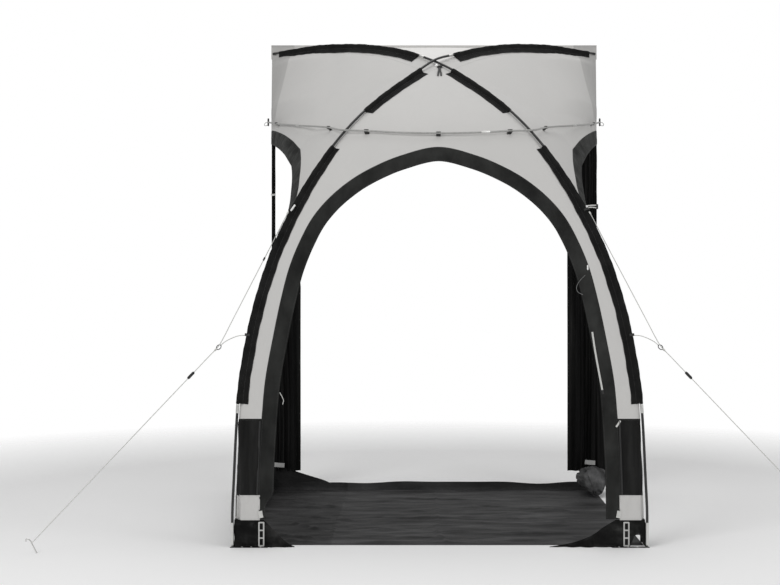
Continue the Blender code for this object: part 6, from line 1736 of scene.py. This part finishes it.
def build_stage(s):
    """The camera, a pale floor that keeps the shadow, and soft light all round."""
    eye = bpy.data.cameras.new("studio_camera")
    eye.sensor_width, eye.lens = SENSOR, FOCAL_PIXELS / PICTURE_WIDTH * SENSOR
    eye.shift_x, eye.shift_y = (shift / PICTURE_WIDTH for shift in SHIFT_PIXELS)
    camera = link_new("studio_camera", eye)
    camera.location, camera.rotation_euler = EYE, (math.radians(90), 0, 0)
    bpy.context.scene.camera = camera
    for name, place, aim, size, share in LIGHTS:
        lamp = bpy.data.lights.new(name, "AREA")
        lamp.shape, lamp.size, lamp.energy = "DISK", size, s.key_power * share
        held = link_new(name, lamp)
        held.location = place
        held.rotation_euler = (Vector(aim) - Vector(place)).to_track_quat("-Z", "Y").to_euler()
        held.visible_camera = False
    build_floor(s)
    build_air()
    bpy.context.scene.view_settings.view_transform = "Standard"


# The add-on
class Step:
    """Runs one building step with the scene's settings; an error in it stops the whole."""

    bl_options = {"REGISTER"}

    def execute(self, context):
        """Builds this step's pieces."""
        self.build(context.scene.awning)
        return {"FINISHED"}


class AWNING_OT_stage(Step, bpy.types.Operator):
    """Sets the camera, floor, light and background"""
    bl_idname, bl_label, build = "awning.stage", "Studio", staticmethod(build_stage)


class AWNING_OT_finishes(Step, bpy.types.Operator):
    """Makes the cloth, cord, metal and plastic finishes"""
    bl_idname, bl_label, build = "awning.finishes", "Finishes", staticmethod(build_finishes)


class AWNING_OT_cords(Step, bpy.types.Operator):
    """Runs the two guy lines and their branches"""
    bl_idname, bl_label, build = "awning.cords", "Guy lines", staticmethod(build_cords)


class AWNING_OT_roof(Step, bpy.types.Operator):
    """Sews the roof between the arch poles and the rail"""
    bl_idname, bl_label, build = "awning.roof", "Roof cloth", staticmethod(build_roof)


class AWNING_OT_front(Step, bpy.types.Operator):
    """Sews the front cloth round the doorway"""
    bl_idname, bl_label, build = "awning.front", "Front cloth", staticmethod(build_front)


class AWNING_OT_sides(Step, bpy.types.Operator):
    """Sews the two side cloths round their arches"""
    bl_idname, bl_label, build = "awning.sides", "Side cloths", staticmethod(build_sides)


class AWNING_OT_bands(Step, bpy.types.Operator):
    """Sews the bands of the doorway and arches"""
    bl_idname, bl_label, build = "awning.bands", "Bands", staticmethod(build_bands)


class AWNING_OT_legs(Step, bpy.types.Operator):
    """Sews the legs' cloth, patches and skirts"""
    bl_idname, bl_label, build = "awning.legs", "Legs", staticmethod(build_legs)


class AWNING_OT_curtains(Step, bpy.types.Operator):
    """Hangs the folded curtains along the wall"""
    bl_idname, bl_label, build = "awning.curtains", "Wall curtains", staticmethod(build_wall_flaps)


class AWNING_OT_groundsheet(Step, bpy.types.Operator):
    """Lays the groundsheet with its creases"""
    bl_idname, bl_label, build = "awning.groundsheet", "Groundsheet", staticmethod(build_groundsheet)


class AWNING_OT_bundle(Step, bpy.types.Operator):
    """Gathers the side door's panel on the groundsheet"""
    bl_idname, bl_label, build = "awning.bundle", "Gathered panel", staticmethod(build_bundle)


class AWNING_OT_rail(Step, bpy.types.Operator):
    """Sews the rail tape with its bead"""
    bl_idname, bl_label, build = "awning.rail", "Rail bead", staticmethod(build_rail)


class AWNING_OT_poles(Step, bpy.types.Operator):
    """Stands the two arch poles with their ferrules"""
    bl_idname, bl_label, build = "awning.poles", "Arch poles", staticmethod(build_poles)


class AWNING_OT_sleeves(Step, bpy.types.Operator):
    """Sews the six pole sleeves"""
    bl_idname, bl_label, build = "awning.sleeves", "Pole sleeves", staticmethod(build_sleeves)


class AWNING_OT_brow(Step, bpy.types.Operator):
    """Bends the brow pole over the arch poles"""
    bl_idname, bl_label, build = "awning.brow", "Brow pole", staticmethod(build_brow)


class AWNING_OT_guy_fittings(Step, bpy.types.Operator):
    """Adds the loops that hold the guy lines"""
    bl_idname, bl_label, build = "awning.guy_fittings", "Guy loops", staticmethod(build_guy_fittings)


class AWNING_OT_ladders(Step, bpy.types.Operator):
    """Adds the peg ladders at the front corners"""
    bl_idname, bl_label, build = "awning.ladders", "Peg ladders", staticmethod(build_ladders)


class AWNING_OT_foot_straps(Step, bpy.types.Operator):
    """Adds the foot straps with their eyelets"""
    bl_idname, bl_label, build = "awning.foot_straps", "Foot straps", staticmethod(build_foot_straps)


class AWNING_OT_small_pieces(Step, bpy.types.Operator):
    """Adds the ties, tabs, toggles and loops"""
    bl_idname, bl_label, build = "awning.small_pieces", "Ties and tabs", staticmethod(build_small_pieces)


class AWNING_OT_seams(Step, bpy.types.Operator):
    """Sews the stitches and zips along the seams"""
    bl_idname, bl_label, build = "awning.seams", "Seams and zips", staticmethod(build_seams)


class AWNING_OT_frame(Step, bpy.types.Operator):
    """Puts the finishes on the clips, hooks, runners, pegs and tubes"""
    bl_idname, bl_label, build = "awning.frame", "Frame finishes", staticmethod(dress_frame)


STEPS = (
    AWNING_OT_stage, AWNING_OT_finishes, AWNING_OT_cords, AWNING_OT_roof, AWNING_OT_front,
    AWNING_OT_sides, AWNING_OT_bands, AWNING_OT_legs, AWNING_OT_curtains, AWNING_OT_groundsheet,
    AWNING_OT_bundle, AWNING_OT_rail, AWNING_OT_poles, AWNING_OT_sleeves, AWNING_OT_brow,
    AWNING_OT_guy_fittings, AWNING_OT_ladders, AWNING_OT_foot_straps, AWNING_OT_small_pieces,
    AWNING_OT_seams, AWNING_OT_frame,
)


class AWNING_PT_panel(bpy.types.Panel):
    """The settings and the steps, in the order in which they are run"""
    bl_idname, bl_label = "AWNING_PT_panel", "Porch awning"
    bl_space_type, bl_region_type, bl_category = "VIEW_3D", "UI", "Awning"

    def draw(self, context):
        """Shows the settings, then a button for each step."""
        for name in AwningSettings.__annotations__:
            self.layout.prop(context.scene.awning, name)
        for step in STEPS:
            self.layout.operator(step.bl_idname)


CLASSES = (AwningSettings, *STEPS, AWNING_PT_panel)


def register():
    """Adds the settings, the steps and the panel."""
    for each in CLASSES:
        bpy.utils.register_class(each)
    bpy.types.Scene.awning = PointerProperty(type=AwningSettings)


def unregister():
    """Takes them away again."""
    del bpy.types.Scene.awning
    for each in reversed(CLASSES):
        bpy.utils.unregister_class(each)


def main():
    """Builds the whole scene."""
    register()
    for step in STEPS:
        group, name = step.bl_idname.split(".")
        getattr(getattr(bpy.ops, group), name)()


if __name__ == "__main__":
    main()
